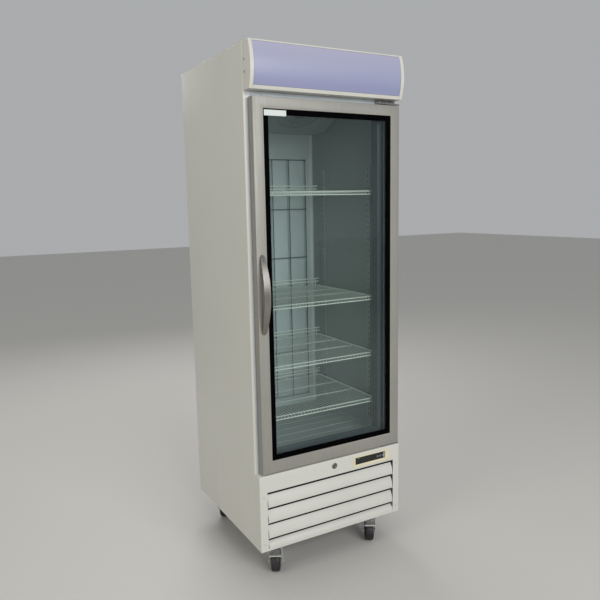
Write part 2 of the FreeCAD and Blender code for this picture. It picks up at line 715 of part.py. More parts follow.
def controller():
    rim = block(("bezel_left", "bezel_right"), ("-grille_front - 3", "-grille_front"), ("bezel_low", "bezel_high"))
    window = block(("window_left", "window_right"), ("-60", "0"), ("window_low", "window_high"))
    part("display_bezel", cut(rim, window))
    case = block(("window_left + 0.5", "window_right - 0.5"), ("-grille_front - 1.5", "-15"),
                 ("window_low + 0.5", "window_high - 0.5"))
    wells = []
    middle = "(window_low + window_high) / 2"
    for column, name in enumerate(("set_button", "up_button", "down_button")):
        centre = "window_right - 14 - button_pitch * %d" % column

        def face(slack):
            return ((centre + " - button_wide / 2 - " + slack, centre + " + button_wide / 2 + " + slack),
                    (middle + " - button_tall / 2 - " + slack, middle + " + button_tall / 2 + " + slack))
        across, up = face("0")
        part(name, block(across, ("-grille_front - 3", "5 - grille_front"), up))
        across, up = face("0.3")
        wells.append(block(across, ("-grille_front - 5", "7.5 - grille_front"), up))
    part("display_module", cut(case, *wells))


# ---------------------------------------------------------------- door

def door():
    """Aluminium frame round a sealed double pane, with a magnetic gasket behind."""
    outer = [("door_left", z_at("door_low")), ("door_right", z_at("door_low")),
             ("door_right", z_at("door_high")), ("door_left", z_at("door_high"))]
    slab = extrusion("XZ_Plane", outer, "door_front - door_back", ("0", y_at("-door_front"), "0"))
    window = block(("glass_left", "glass_right"), ("-door_front - 10", "10"), ("glass_low", "glass_high"))
    bores = [rod("z", ("pivot_x", y_at("-pivot_y"), z_at(low)), "pin_radius + running_gap", "pin_reach + 11")
             for low in ("door_low - 10", "door_high - pin_reach - 1")]
    bolt_slot = block(("lock_x - 8", "lock_x + 8"), ("-32", "-16"), ("door_low - 10", "door_low + 14"))
    part("door_frame", cut(slab, window, bolt_slot, *bores))
    across = ("glass_left + glass_fit", "glass_right - glass_fit")
    up = ("glass_low + glass_fit", "glass_high - glass_fit")
    front = "(glass_set_back - door_front)"
    panes = [block(across, (front, front + " + pane"), up),
             block(across, (front + " + pane + pane_gap", front + " + 2 * pane + pane_gap"), up)]
    part("glass_panes", group(*panes))
    ring_y = (front + " + pane", front + " + pane + pane_gap")
    solid = block(across, ring_y, up)
    hollow = block(("glass_left + border", "glass_right - border"), ("-door_front - 10", "10"),
                   ("glass_low + border", "glass_high - border"))
    part("glass_spacer", cut(solid, hollow))
    seal = block(("door_left + gasket_inset", "door_right - gasket_hinge_inset"), ("-door_back", "-gasket_air"),
                 ("door_low + gasket_inset", "door_high - gasket_inset"))
    seal_hole = block(("door_left + gasket_inset + gasket_wide", "door_right - gasket_hinge_inset - gasket_wide"),
                      ("-door_back - 10", "10"),
                      ("door_low + gasket_inset + gasket_wide", "door_high - gasket_inset - gasket_wide"))
    part("door_gasket", cut(seal, seal_hole))


def handle():
    """Bowed strap: a band between two arcs, with rounded ends and two posts."""
    rise = "(handle_reach - door_front)"
    span = "(handle_high - handle_low)"
    radius = "((%s / 2)^2 + %s^2) / (2 * %s)" % (span, rise, rise)
    middle = "(handle_low + handle_high) / 2"
    left = "handle_x - handle_wide / 2"
    centre = ("%s - 5" % left, y_at("(%s) - handle_reach" % radius), z_at(middle))
    band = cut(rod("x", centre, radius, "handle_wide + 10"),
               rod("x", centre, "(%s) - handle_thick" % radius, "handle_wide + 20"))
    ends = [rod("y", ("handle_x", y_at("-handle_reach - 5"), z_at(z)), "handle_wide / 2", "handle_reach - door_front + 5")
            for z in ("handle_low + handle_wide / 2", "handle_high - handle_wide / 2")]
    face = fuse(block((left, "handle_x + handle_wide / 2"), ("-handle_reach - 5", "-door_front"),
                      ("handle_low + handle_wide / 2", "handle_high - handle_wide / 2")), *ends)
    posts = [rod("y", ("handle_x", y_at("-door_front - 13"), z_at(z)), "8", "13")
             for z in (middle + " - 122", middle + " + 122")]
    part("door_handle", fuse(common(band, face), *posts))


def hinge_brackets():
    pin_spot = ("pivot_x", y_at("-pivot_y"))
    shelf_top = block(("244", "341"), ("-36", "0"), ("door_high + 3", "door_high + 7"))
    ear_top = block(("244", "341"), ("-4", "0"), ("door_high + 3", "sign_low - 1"))
    pin_top = rod("z", pin_spot + (z_at("door_high - pin_reach"),), "pin_radius", "pin_reach + 5")
    part("top_hinge_bracket", fuse(shelf_top, ear_top, pin_top))
    shelf_low = block(("250", "341"), ("-36", "0"), ("grille_high + 0.4", "grille_high + 3.6"))
    ear_low = block(("250", "341"), ("-3", "0"), ("grille_high + 0.4", "grille_high + 14"))
    pin_low = rod("z", pin_spot + (z_at("grille_high + 1"),), "pin_radius", "pin_reach + 5")
    part("bottom_hinge_bracket", fuse(shelf_low, cut(ear_low, block(("240", "350"), ("-20", "20"),
                                                                  ("grille_high + 5", "grille_high + 30"))), pin_low))


# ---------------------------------------------------------------- casters

def caster_stand(item, x, depth, turn=CASTER_TURN):
    """Stand something drawn about the swivel axis under one corner of the cabinet."""
    carrier = doc.addObject("Part::Compound", "Carrier")
    carrier.Links = [item]
    spin = FreeCAD.Rotation(FreeCAD.Vector(0, 0, 1), turn)
    return place(carrier, (x, y_at(depth), "0"), spin)


CASTERS = (("front_left", "-caster_x", "caster_front"), ("front_right", "caster_x", "caster_front"),
           ("rear_left", "-caster_x", "caster_rear"), ("rear_right", "caster_x", "caster_rear"))


def caster_plates():
    plates = []
    for name, x, depth in CASTERS:
        plate = box(("-46", "46"), ("-34", "34"), ("caster_height - caster_plate", "caster_height"))
        race = rod("z", ("0", "0", "fork_top + 0.5"), "25", "caster_height - fork_top - 2")
        kingpin = rod("z", ("0", "0", "fork_top - 11"), "kingpin_radius", "14")
        plates.append(caster_stand(fuse(plate, race, kingpin), x, depth, 0))
    part("caster_plates", group(*plates))


def fork(name, x, depth):
    crown = rod("z", ("0", "0", "fork_top - 7"), "26", "7")
    bridge = box(("-wheel_wide / 2 - 5", "wheel_wide / 2 + 5"), ("-40", "20"), ("fork_top - 10", "fork_top - 6"))
    corners = [("20", "fork_top - 7"), ("-44", "fork_top - 7"), ("-trail - 14", "wheel_radius"),
               ("-trail - 8", "wheel_radius - 11"), ("-trail + 8", "wheel_radius - 11"),
               ("-trail + 14", "wheel_radius"), ("-4", "fork_top - 36")]
    legs = [extrusion("YZ_Plane", corners, "fork_sheet", (start, "0", "0"))
            for start in ("-wheel_wide / 2 - 5", "wheel_wide / 2 + 2")]
    axle = rod("x", ("-wheel_wide / 2 - 9", "-trail", "wheel_radius"), "axle_radius", "wheel_wide + 18")
    solid = fuse(crown, bridge, axle, *legs)
    bore = rod("z", ("0", "0", "fork_top - 20"), "kingpin_radius + running_gap", "30")
    part("caster_fork_" + name, caster_stand(cut(solid, bore), x, depth))


def wheel(name, x, depth):
    """Tyre and hub in one turned piece."""
    half = "wheel_wide / 2"
    bore = "axle_radius + running_gap"
    corners = [(bore, "-" + half), ("13", "-" + half), ("15", "4 - " + half), ("wheel_radius - 11", "4 - " + half),
               ("wheel_radius - 9", "-" + half), ("wheel_radius - 3", "1 - " + half), ("wheel_radius", "6 - " + half),
               ("wheel_radius", half + " - 6"), ("wheel_radius - 3", half + " - 1"), ("wheel_radius - 9", half),
               ("wheel_radius - 11", half + " - 4"), ("15", half + " - 4"), ("13", half), (bore, half)]
    disc = turned(corners, ("0", "-trail", "wheel_radius"), AXIS_TURN["x"])
    part("caster_wheel_" + name, caster_stand(disc, x, depth))


def brake_lever(name, x, depth):
    """Foot pedal over the wheel, pivoted between the fork's legs."""
    pedal = box(("-wheel_wide / 2 + 1", "wheel_wide / 2 - 1"), ("-trail - 50", "-trail + 4"), ("94", "97"))
    toe = box(("-wheel_wide / 2 - 8", "wheel_wide / 2 + 4"), ("-trail - 58", "-trail - 46"), ("92", "96"))
    pivot = rod("x", ("-wheel_wide / 2 - 1.7", "-trail + 2", "96"), "3", "wheel_wide + 3.4")
    part("brake_lever_" + name, caster_stand(fuse(pedal, toe, pivot), x, depth))


def casters():
    caster_plates()
    for name, x, depth in CASTERS:
        fork(name, x, depth)
        wheel(name, x, depth)
        if name.startswith("front"):
            brake_lever(name, x, depth)


# ---------------------------------------------------------------- fasteners

def screws():
    """Every exposed screw head, kept together as separate solids."""
    heads = []
    for x in (-316, 0, 316):
        for z in (30, 290, 700, 1200, 1900):
            heads.append(rod("y", (x, y_at("cab_depth - rear_recess"), z_at(z)), "4.5", "1.8"))
    for x in (-333.5, -312, -267):
        heads.append(rod("y", (x, y_at("skin - 1.6" if x > -330 else "-1.6"), z_at("1773")), "4", "1.5"))
    for x in (-326, 326):
        for z in (30, 230):
            heads.append(rod("y", (x, y_at("-grille_front - 1.6"), z_at(z)), "3.5", "1.5"))
    for x in (262, 300):
        heads.append(rod("y", (x, y_at("-5.6"), z_at("1776")), "3.5", "1.5"))
    part("cabinet_screws", group(*heads))


def build():
    make_sheet()
    shell()
    rear_cover()
    base_chassis()
    liner()
    foam()
    breaker_frame()
    pilasters()
    clips()
    rear_wire_guard()
    interior_light()
    evaporator()
    evaporator_fan()
    sign()
    grille()
    lock()
    controller()
    hinge_brackets()
    condensing_unit()
    refrigerant_lines()
    screws()
    door()
    handle()
    for number, level in enumerate(SHELF_LEVELS, start=1):
        shelf(number, level)
    casters()
    doc.recompute()


def check():
    """Stop if any object failed, or any sub-part is empty or broken."""
    for item in doc.Objects:
        if "Invalid" in item.State or "Error" in item.State:
            raise RuntimeError("%s (%s) failed" % (item.Name, item.Label))
    broken = [item.Label for item in parts
              if item.Shape.isNull() or not item.Shape.isValid() or not item.Shape.Solids]
    if broken:
        raise RuntimeError("no sound solid in: " + ", ".join(broken))


def write():
    os.makedirs("parts", exist_ok=True)
    for item in parts:
        item.Shape.exportStep("parts/%s.step" % item.Label)


build()
check()
write()
total = FreeCAD.BoundBox()
for finished in parts:
    total.add(finished.Shape.BoundBox)
print("%d sub-parts, %.1f x %.1f x %.1f mm" % (len(parts), total.XLength, total.YLength, total.ZLength))
print("x %.1f %.1f  y %.1f %.1f  z %.1f %.1f" % (total.XMin, total.XMax, total.YMin, total.YMax, total.ZMin, total.ZMax))
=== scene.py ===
import json
import math

import bmesh
import bpy
from mathutils import Matrix, Vector


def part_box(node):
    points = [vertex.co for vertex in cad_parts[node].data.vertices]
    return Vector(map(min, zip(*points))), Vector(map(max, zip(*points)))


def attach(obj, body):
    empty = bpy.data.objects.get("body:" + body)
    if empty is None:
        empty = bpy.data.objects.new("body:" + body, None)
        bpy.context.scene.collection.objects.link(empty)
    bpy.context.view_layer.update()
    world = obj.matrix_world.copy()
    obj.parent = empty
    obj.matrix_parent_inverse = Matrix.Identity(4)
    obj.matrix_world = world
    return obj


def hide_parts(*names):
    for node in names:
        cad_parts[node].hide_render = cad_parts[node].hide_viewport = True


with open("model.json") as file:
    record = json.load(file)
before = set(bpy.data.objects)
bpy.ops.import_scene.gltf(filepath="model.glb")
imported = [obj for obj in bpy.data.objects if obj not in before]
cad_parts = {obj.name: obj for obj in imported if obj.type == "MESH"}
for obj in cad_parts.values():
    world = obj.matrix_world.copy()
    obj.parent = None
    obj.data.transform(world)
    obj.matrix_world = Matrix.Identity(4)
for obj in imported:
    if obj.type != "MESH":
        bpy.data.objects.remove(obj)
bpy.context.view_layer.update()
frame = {"nodes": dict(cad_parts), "record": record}

MM = 0.001
SLOT_OF = {row["node"]: row["material_slot"] for row in frame["record"]["subparts"]}
JOINTS = {row["name"]: row for row in frame["record"]["behaviour"]["joints"]}


def span(node):
    """A node's two corners as vectors."""
    low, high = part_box(node)
    return Vector(low), Vector(high)


FRONT = span("left_side_panel")[0].y        # the cabinet's front plane
DOOR = span("door_frame")
GLASS = span("glass_panes")
BAND = 21 * MM                              # black border round the pane
PITCH = 15.8 * MM                           # between a shelf's wires
LINER_WALL = 2 * MM
SIGN_SCREWS = (1976 * MM, 2019 * MM)        # heights of the two screws in each end of the sign
LOUVRE_HALF = 310 * MM                      # half the width of the grille's openings


# ---------------------------------------------------------------- finishes

def srgb(red, green, blue):
    """A colour given in ordinary 0 to 255 values, as the shader's linear one."""
    def linear(value):
        value /= 255
        return value / 12.92 if value <= 0.04045 else ((value + 0.055) / 1.055) ** 2.4
    return (linear(red), linear(green), linear(blue), 1.0)


class Wire:
    """A shader socket that sums can be written with: each sum adds a Math node."""

    def __init__(self, finish, socket):
        self.finish = finish
        self.socket = socket

    def maths(self, operation, first, second):
        return self.finish.node("Math", {"operation": operation}, {0: first, 1: second})

    def __add__(self, other):
        return self.maths("ADD", self, other)

    def __radd__(self, other):
        return self.maths("ADD", other, self)

    def __sub__(self, other):
        return self.maths("SUBTRACT", self, other)

    def __rsub__(self, other):
        return self.maths("SUBTRACT", other, self)

    def __mul__(self, other):
        return self.maths("MULTIPLY", self, other)

    def __rmul__(self, other):
        return self.maths("MULTIPLY", other, self)

    def __pow__(self, other):
        return self.maths("POWER", self, other)


class Finish:
    """A node material: one Principled shader and the piece's own coordinates."""

    def __init__(self, name, color, roughness, metallic=0.0, coat=0.0, coat_roughness=0.05):
        self.material = bpy.data.materials.new(name)
        self.material.use_nodes = True
        self.tree = self.material.node_tree
        self.tree.nodes.clear()
        self.output = self.tree.nodes.new("ShaderNodeOutputMaterial")
        self.shader = self.tree.nodes.new("ShaderNodeBsdfPrincipled")
        self.tree.links.new(self.shader.outputs[0], self.output.inputs["Surface"])
        self.set("Base Color", color)
        self.set("Roughness", roughness)
        self.set("Metallic", metallic)
        self.set("Coat Weight", coat)
        self.set("Coat Roughness", coat_roughness)
        self.place = self.node("TexCoord", output="Object")

    def node(self, kind, settings=None, inputs=None, output=0):
        """Any node: its type, its settings, and the values or links of its sockets."""
        item = self.tree.nodes.new("ShaderNode" + kind)
        for key, value in (settings or {}).items():
            if key == "stops":
                self.stops(item, value)
            else:
                setattr(item, key, value)
        for key, value in (inputs or {}).items():
            self.put(item.inputs[key], value)
        return Wire(self, item.outputs[output])

    def stops(self, item, stops):
        ramp = item.color_ramp
        while len(ramp.elements) < len(stops):
            ramp.elements.new(0.5)
        for element, (position, color) in zip(ramp.elements, stops):
            element.position = position
            element.color = color

    def put(self, socket, value):
        if isinstance(value, Wire):
            self.tree.links.new(value.socket, socket)
        else:
            socket.default_value = value

    def set(self, name, value):
        self.put(self.shader.inputs[name], value)

    def noise(self, scale, detail=3.0, stretch=(1, 1, 1), roughness=0.5):
        """Noise on the piece's own coordinates, stretch giving its scale along each axis."""
        spot = self.node("Mapping", {}, {"Vector": self.place, "Scale": stretch})
        inputs = {"Vector": spot, "Scale": scale, "Detail": detail, "Roughness": roughness}
        return self.node("TexNoise", {}, inputs)

    def ramp(self, value, stops):
        return self.node("ValToRGB", {"stops": stops}, {"Fac": value})

    def grey(self, value, low, high, out_low=0.0, out_high=1.0):
        """A value mapped from one range to another, and held to it."""
        inputs = {"Value": value, "From Min": low, "From Max": high, "To Min": out_low, "To Max": out_high}
        return self.node("MapRange", {"clamp": True}, inputs)

    def mix(self, first, second, share):
        return self.node("Mix", {"data_type": "RGBA"}, {0: share, 6: first, 7: second}, output=2)

    def bump(self, height, distance, strength=1.0, under=None):
        inputs = {"Height": height, "Distance": distance, "Strength": strength}
        if under is not None:
            inputs["Normal"] = under
        return self.node("Bump", {}, inputs)

    def axis(self, name):
        return self.node("SeparateXYZ", {}, {0: self.place}, output="XYZ".index(name))

    def distance(self, name):
        """How far a spot lies from the middle plane, along one axis."""
        return self.node("Math", {"operation": "ABSOLUTE"}, {0: self.axis(name)})


def painted(name, color, roughness=0.36, grime=0.02):
    """Powder-coated sheet: fine orange peel, faint uneven gloss and a little grime low down."""
    finish = Finish(name, color, roughness, coat=0.12, coat_roughness=0.2)
    peel = finish.noise(420, 2.0)
    wave = finish.noise(2.2, 2.0)
    smear = finish.noise(9, 4.0, (1, 1, 0.35), 0.6)
    dark = tuple(channel * 0.93 for channel in color[:3]) + (1.0,)
    soiled = srgb(150, 142, 124)
    tone = finish.mix(color, dark, finish.grey(wave, 0.35, 0.65, 0.0, 0.35))
    low = finish.grey(finish.axis("Z"), 0.10, 0.55, 1.0, 0.0)
    dirt = low * finish.grey(smear, 0.45, 0.75) * grime * 3 + finish.grey(smear, 0.58, 0.8) * grime
    finish.set("Base Color", finish.mix(tone, soiled, dirt))
    finish.set("Roughness", finish.grey(smear, 0.3, 0.7, roughness - 0.05, roughness + 0.09))
    long_wave = finish.bump(wave, 0.0006, 0.25)
    finish.set("Normal", finish.bump(peel, 0.00006, 0.5, long_wave))
    return finish.material


def lined(name):
    """Liner paint with painted light: the back wall is painted paler than the rest, and a painted highlight
    runs along its upright edges.
    """
    finish = Finish(name, srgb(172, 180, 180), 0.4, coat=0.1, coat_roughness=0.2)
    peel = finish.noise(420, 2.0)
    cloud = finish.noise(3.0, 3.0)
    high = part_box("inner_liner")[1]
    # Painted light: the back wall gets a paler colour than the side walls, and a painted highlight runs down
    # its corners.
    deep = finish.grey(finish.axis("Y"), high[1] - 0.014, high[1] - 0.007)
    corner_highlight = finish.grey(finish.distance("X"), high[0] - 0.017, high[0] - 0.013)
    rear = finish.mix(srgb(222, 232, 234), srgb(246, 252, 252), corner_highlight)
    tone = finish.mix(srgb(164, 172, 171), rear, deep)
    finish.set("Base Color", finish.mix(tone, srgb(150, 158, 156), finish.grey(cloud, 0.45, 0.7, 0.0, 0.25)))
    finish.set("Normal", finish.bump(peel, 0.00006, 0.5))
    return finish.material


def moulded(name, color, roughness=0.35, coat=0.1, grain=900, depth=0.00002):
    """Moulded plastic with a fine skin."""
    finish = Finish(name, color, roughness, coat=coat, coat_roughness=0.1)
    skin = finish.noise(grain, 2.0)
    cloud = finish.noise(14, 3.0)
    dark = tuple(channel * 0.9 for channel in color[:3]) + (1.0,)
    finish.set("Base Color", finish.mix(color, dark, finish.grey(cloud, 0.35, 0.7, 0.0, 0.7)))
    finish.set("Roughness", finish.grey(cloud, 0.3, 0.7, roughness - 0.04, roughness + 0.08))
    finish.set("Normal", finish.bump(skin, depth, 0.5))
    return finish.material


def brushed(name, color, roughness=0.32, depth=0.00003, shine=1.0):
    """Metal with a fine upright brushed grain."""
    finish = Finish(name, color, roughness, metallic=shine)
    stretch = (1, 1, 0.02)
    hair = finish.noise(1100, 3.0, stretch, 0.65)
    band = finish.noise(120, 2.0, stretch)
    cloud = finish.noise(7, 3.0)
    dark = tuple(channel * 0.8 for channel in color[:3]) + (1.0,)
    tone = finish.mix(color, dark, finish.grey(hair, 0.35, 0.65, 0.0, 0.6))
    finish.set("Base Color", finish.mix(tone, dark, finish.grey(cloud, 0.45, 0.75, 0.0, 0.35)))
    finish.set("Roughness", finish.grey(band, 0.3, 0.7, roughness - 0.06, roughness + 0.08))
    finish.set("Normal", finish.bump(hair, depth, 0.35))
    return finish.material


def plated(name, color, roughness=0.3, stain=0.4, shine=1.0):
    """Zinc-plated steel: soft spangle, scuffs and dull stains."""
    finish = Finish(name, color, roughness, metallic=shine)
    spangle = finish.node("TexVoronoi", {}, {"Vector": finish.place, "Scale": 160.0}, output="Color")
    fleck = finish.node("RGBToBW", {}, {0: spangle})
    cloud = finish.noise(26, 4.0, (1, 1, 1), 0.6)
    dark = tuple(channel * 0.62 for channel in color[:3]) + (1.0,)
    tone = finish.mix(color, dark, finish.grey(fleck, 0.2, 0.9, 0.0, 0.35))
    finish.set("Base Color", finish.mix(tone, dark, finish.grey(cloud, 0.5, 0.75, 0.0, stain)))
    finish.set("Roughness", finish.grey(cloud, 0.3, 0.7, roughness - 0.08, roughness + 0.15))
    finish.set("Normal", finish.bump(cloud, 0.0001, 0.3))
    return finish.material


def rubbery(name, color, roughness=0.6, dust=0.25):
    """Rubber with a dull bloom and dust."""
    finish = Finish(name, color, roughness)
    grain = finish.noise(700, 3.0)
    cloud = finish.noise(30, 4.0, (1, 1, 1), 0.65)
    dusty = srgb(112, 104, 92)
    finish.set("Base Color", finish.mix(color, dusty, finish.grey(cloud, 0.5, 0.8, 0.0, dust)))
    finish.set("Roughness", finish.grey(cloud, 0.3, 0.7, roughness - 0.08, min(roughness + 0.15, 1.0)))
    finish.set("Normal", finish.bump(grain, 0.00008, 0.5))
    return finish.material


def face_plastic():
    """Pale moulded face, with a darker band of painted shade on the jamb round its mouth."""
    color, jamb_shade = srgb(214, 222, 226), srgb(88, 98, 104)
    finish = Finish("face_frame_plastic", color, 0.35, coat=0.2, coat_roughness=0.1)
    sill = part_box("inner_liner")[0][2] + 0.012
    head = sill + 1.401
    across = finish.grey(finish.distance("X"), 0.2860, 0.2866, 1.0, 0.0)
    above = finish.grey(finish.axis("Z"), sill, sill + 0.0006)
    below = finish.grey(finish.axis("Z"), head, head + 0.0006, 1.0, 0.0)
    cloud = finish.noise(14, 3.0)
    pale = finish.mix(color, srgb(200, 208, 212), finish.grey(cloud, 0.35, 0.7))
    # Painted shade: the band inside the mouth is darkened to stand for the shade on the jamb.
    finish.set("Base Color", finish.mix(pale, jamb_shade, across * above * below))
    finish.set("Roughness", finish.grey(cloud, 0.3, 0.7, 0.31, 0.43))
    finish.set("Normal", finish.bump(finish.noise(900, 2.0), 0.00002, 0.5))
    return finish.material


def lens_acrylic():
    """Lavender acrylic sheet with painted light: paler towards its top edge and a little darker to the
    right.
    """
    finish = Finish("sign_lens_acrylic", srgb(178, 177, 210), 0.32, coat=0.25, coat_roughness=0.12)
    low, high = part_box("sign_panel")
    height = finish.grey(finish.axis("Z"), low[2], high[2])
    across = finish.grey(finish.axis("X"), low[0], high[0])
    cloud = finish.noise(3.0, 2.0, (0.6, 1, 1))
    # Painted light: the lens colour runs from darker at the bottom to paler at the top.
    painted_light_gradient = finish.ramp(height + (cloud - 0.5) * 0.18 - across * 0.12,
                       [(0.0, srgb(146, 150, 183)), (0.45, srgb(158, 161, 188)), (1.0, srgb(172, 170, 192))])
    finish.set("Base Color", painted_light_gradient)
    finish.set("Normal", finish.bump(finish.noise(3.5, 1.0, (1, 1, 0.5)), 0.002, 0.25))
    return finish.material


def door_glass():
    """Clear pane: mostly seen through, with a mirror that grows towards grazing angles."""
    finish = Finish("door_glass_clear", srgb(225, 235, 238), 0.02, metallic=1.0)
    smear = finish.noise(5, 4.0, (1, 1, 0.4), 0.6)
    finish.set("Roughness", finish.grey(smear, 0.35, 0.8, 0.01, 0.07))
    clear = finish.node("BsdfTransparent", {}, {"Color": (0.945, 0.962, 0.955, 1.0)})
    mirror = Wire(finish, finish.shader.outputs[0])
    facing = finish.node("LayerWeight", {}, {"Blend": 0.5}, output="Facing")
    share = facing ** 4.0 * 0.9 + 0.02 + finish.grey(smear, 0.5, 0.85, 0.0, 0.012)
    pane = finish.node("MixShader", {}, {0: share, 1: clear, 2: mirror})
    finish.put(finish.output.inputs["Surface"], pane)
    return finish.material


def finned(name):
    """Stack of thin fins standing on edge across the coil; the dark bands between them are painted shade in
    the gaps.
    """
    finish = Finish(name, srgb(170, 172, 176), 0.4, metallic=0.9)
    fins = finish.node("TexWave", {"wave_type": "BANDS", "bands_direction": "X"},
                       {"Vector": finish.place, "Scale": 60.0, "Distortion": 0.2}, output="Fac")
    # Painted shade: dark bands between the pale fins.
    finish.set("Base Color", finish.mix(srgb(60, 60, 62), srgb(190, 192, 196), fins))
    finish.set("Normal", finish.bump(fins, 0.002, 0.9))
    return finish.material


def foamed():
    """Pale rigid foam with fine cells."""
    finish = Finish("foam_cells", srgb(220, 200, 150), 0.9)
    cells = finish.node("TexVoronoi", {}, {"Vector": finish.place, "Scale": 500.0})
    finish.set("Base Color", finish.mix(srgb(226, 206, 156), srgb(190, 165, 110), cells))
    finish.set("Normal", finish.bump(cells, 0.0004, 0.6))
    return finish.material


def border_ink():
    """Black ceramic ink, nearly without a shine."""
    finish = Finish("border_ink", srgb(5, 5, 6), 0.5)
    finish.set("Specular IOR Level", 0.0)
    cloud = finish.noise(30, 2.0)
    finish.set("Base Color", finish.mix(srgb(5, 5, 6), srgb(9, 9, 10), cloud))
    return finish.material


def shade_sheet_mesh():
    """Black woven sheet: painted shade for the gaps between the louvres."""
    finish = Finish("shade_sheet_mesh", srgb(20, 20, 21), 0.85)
    across = finish.node("Math", {"operation": "FRACT"}, {0: finish.axis("X") * 600.0})
    upward = finish.node("Math", {"operation": "FRACT"}, {0: finish.axis("Z") * 600.0})
    weave = finish.grey(across, 0.3, 0.5) * finish.grey(upward, 0.3, 0.5)
    finish.set("Base Color", finish.mix(srgb(26, 26, 27), srgb(8, 8, 9), weave))
    return finish.material


def slotted_strip():
    """Pale plated strip with a column of small slots, drawn as dark painted shade."""
    finish = Finish("pilaster_strip", srgb(186, 192, 190), 0.4, metallic=0.4)
    row = finish.node("Math", {"operation": "FRACT"}, {0: finish.axis("Z") * 40.0})
    depth = finish.axis("Y")
    near = finish.node("Math", {"operation": "COMPARE"}, {0: depth, 1: FRONT + 121 * MM, 2: 3 * MM})
    far = finish.node("Math", {"operation": "COMPARE"}, {0: depth, 1: FRONT + 500 * MM, 2: 3 * MM})
    # Painted shade: each slot is a dark mark standing for the shade in the hole.
    slot = finish.grey(row, 0.52, 0.55, 0.0, 1.0) * finish.grey(row, 0.95, 0.98, 1.0, 0.0) * (near + far)
    cloud = finish.noise(20, 2.0)
    finish.set("Base Color", finish.mix(finish.mix(srgb(190, 196, 194), srgb(168, 174, 172), cloud),
                                        srgb(70, 76, 78), slot * 0.6))
    return finish.material


def label_finish():
    """Pale coated paper."""
    finish = Finish("label_paper", srgb(222, 228, 222), 0.4, coat=0.3)
    grain = finish.noise(300, 2.0)
    finish.set("Base Color", finish.mix(srgb(222, 228, 222), srgb(206, 212, 206), grain))
    return finish.material


def make_finishes():
    """One material for each of the record's slots."""
    return {
        "white_paint": painted("cabinet_paint", srgb(211, 210, 201)),
        "sign_frame_white": moulded("sign_frame_plastic", srgb(212, 210, 200), 0.35, 0.1),
        "sign_lens": lens_acrylic(),
        "lamp_white": moulded("lamp_opal", srgb(238, 238, 230), 0.25),
        "face_white": face_plastic(),
        "liner_white": lined("liner_paint_painted_light"),
        "foam": foamed(),
        "zinc": plated("zinc_sheet", srgb(150, 150, 150)),
        "wire_coat": moulded("wire_coating", srgb(244, 250, 242), 0.3, 0.3, 600),
        "finned_aluminium": finned("coil_fins"),
        "black_paint": moulded("black_enamel", srgb(26, 26, 27), 0.35, 0.2, 400),
        "motor_black": moulded("motor_plastic", srgb(32, 32, 33), 0.5, 0.0, 300),
        "copper": plated("copper_tube", srgb(190, 116, 74), 0.28, 0.5),
        "satin_aluminium": brushed("anodised_aluminium", srgb(160, 158, 150), 0.5, shine=0.35),
        "brushed_handle": brushed("handle_steel", srgb(150, 146, 140), 0.32, depth=0.000008),
        "clear_glass": door_glass(),
        "black_spacer": border_ink(),
        "gasket_grey": rubbery("gasket_vinyl", srgb(52, 52, 50), 0.6, 0.1),
        "lock_chrome": plated("lock_plating", srgb(138, 134, 124), 0.24, 0.5),
        "bezel_cream": moulded("bezel_plastic", srgb(228, 218, 186), 0.4, 0.1),
        "display_dark": moulded("display_window", srgb(14, 17, 17), 0.2, 0.2, 300),
        "button_grey": moulded("button_plastic", srgb(104, 107, 108), 0.3, 0.2),
        "fork_zinc": plated("fork_plating", srgb(214, 214, 212), 0.28, 0.35, 0.55),
        "wheel_black": rubbery("wheel_rubber", srgb(24, 24, 25), 0.5, 0.3),
    }


def make_special_finishes():
    """Finishes for single nodes, and for new pieces that no slot describes well enough."""
    return {
        "label": label_finish(),
        # Painted shade: black sheet behind the grille's louvres.
        "shade_sheet": shade_sheet_mesh(),
        "silver": moulded("bar_silver", srgb(196, 200, 200), 0.25, 0.3, 300),
        # Painted glint: the green patch on the display window.
        "green": moulded("painted_green_glint", srgb(74, 138, 92), 0.3, 0.2, 300),
        # Painted shadow: the pale wire is coloured dark grey to stand for the shadows it casts on the back
        # wall.
        "rear_wire_guard": moulded("guard_wire_painted_shadow", srgb(92, 102, 104), 0.35, 0.1, 600),
        "shelf_pilasters": slotted_strip(),
        "cabinet_screws": painted("screw_paint", srgb(196, 196, 190), 0.4),
    }


finishes = make_finishes()
finishes.update(make_special_finishes())


def dress_cad():
    """Give every packed sub-part its own finish, or the one of its slot."""
    for node in frame["nodes"]:
        item = bpy.data.objects[node]
        material = finishes.get(node, finishes[SLOT_OF[node]])
        if not item.data.materials:
            item.data.materials.append(material)
        for place in item.material_slots:
            place.material = material


# ---------------------------------------------------------------- modelling helpers

def add_box(bm, low, high):
    """A box between two corners."""
    low, high = Vector(low), Vector(high)
    matrix = Matrix.Translation((low + high) / 2) @ Matrix.Diagonal((high - low).to_4d())
    verts = bmesh.ops.create_cube(bm, size=1.0, matrix=matrix)["verts"]
    bm.normal_update()
    return verts


def add_rod(bm, start, end, radius, sides=12):
    """A closed cylinder from one point to another."""
    start, end = Vector(start), Vector(end)
    run = end - start
    matrix = Matrix.Translation((start + end) / 2) @ run.to_track_quat("Z", "Y").to_matrix().to_4x4()
    made = bmesh.ops.create_cone(bm, cap_ends=True, segments=sides, radius1=radius,
                                 radius2=radius, depth=run.length, matrix=matrix)
    return made["verts"]


def add_extrusion(bm, points, run):
    """A prism: a flat outline pulled along a vector."""
    verts = [bm.verts.new(point) for point in points]
    face = bm.faces.new(verts)
    made = bmesh.ops.extrude_face_region(bm, geom=[face])
    moved = [item for item in made["geom"] if isinstance(item, bmesh.types.BMVert)]
    bmesh.ops.translate(bm, verts=moved, vec=run)
    return verts + moved


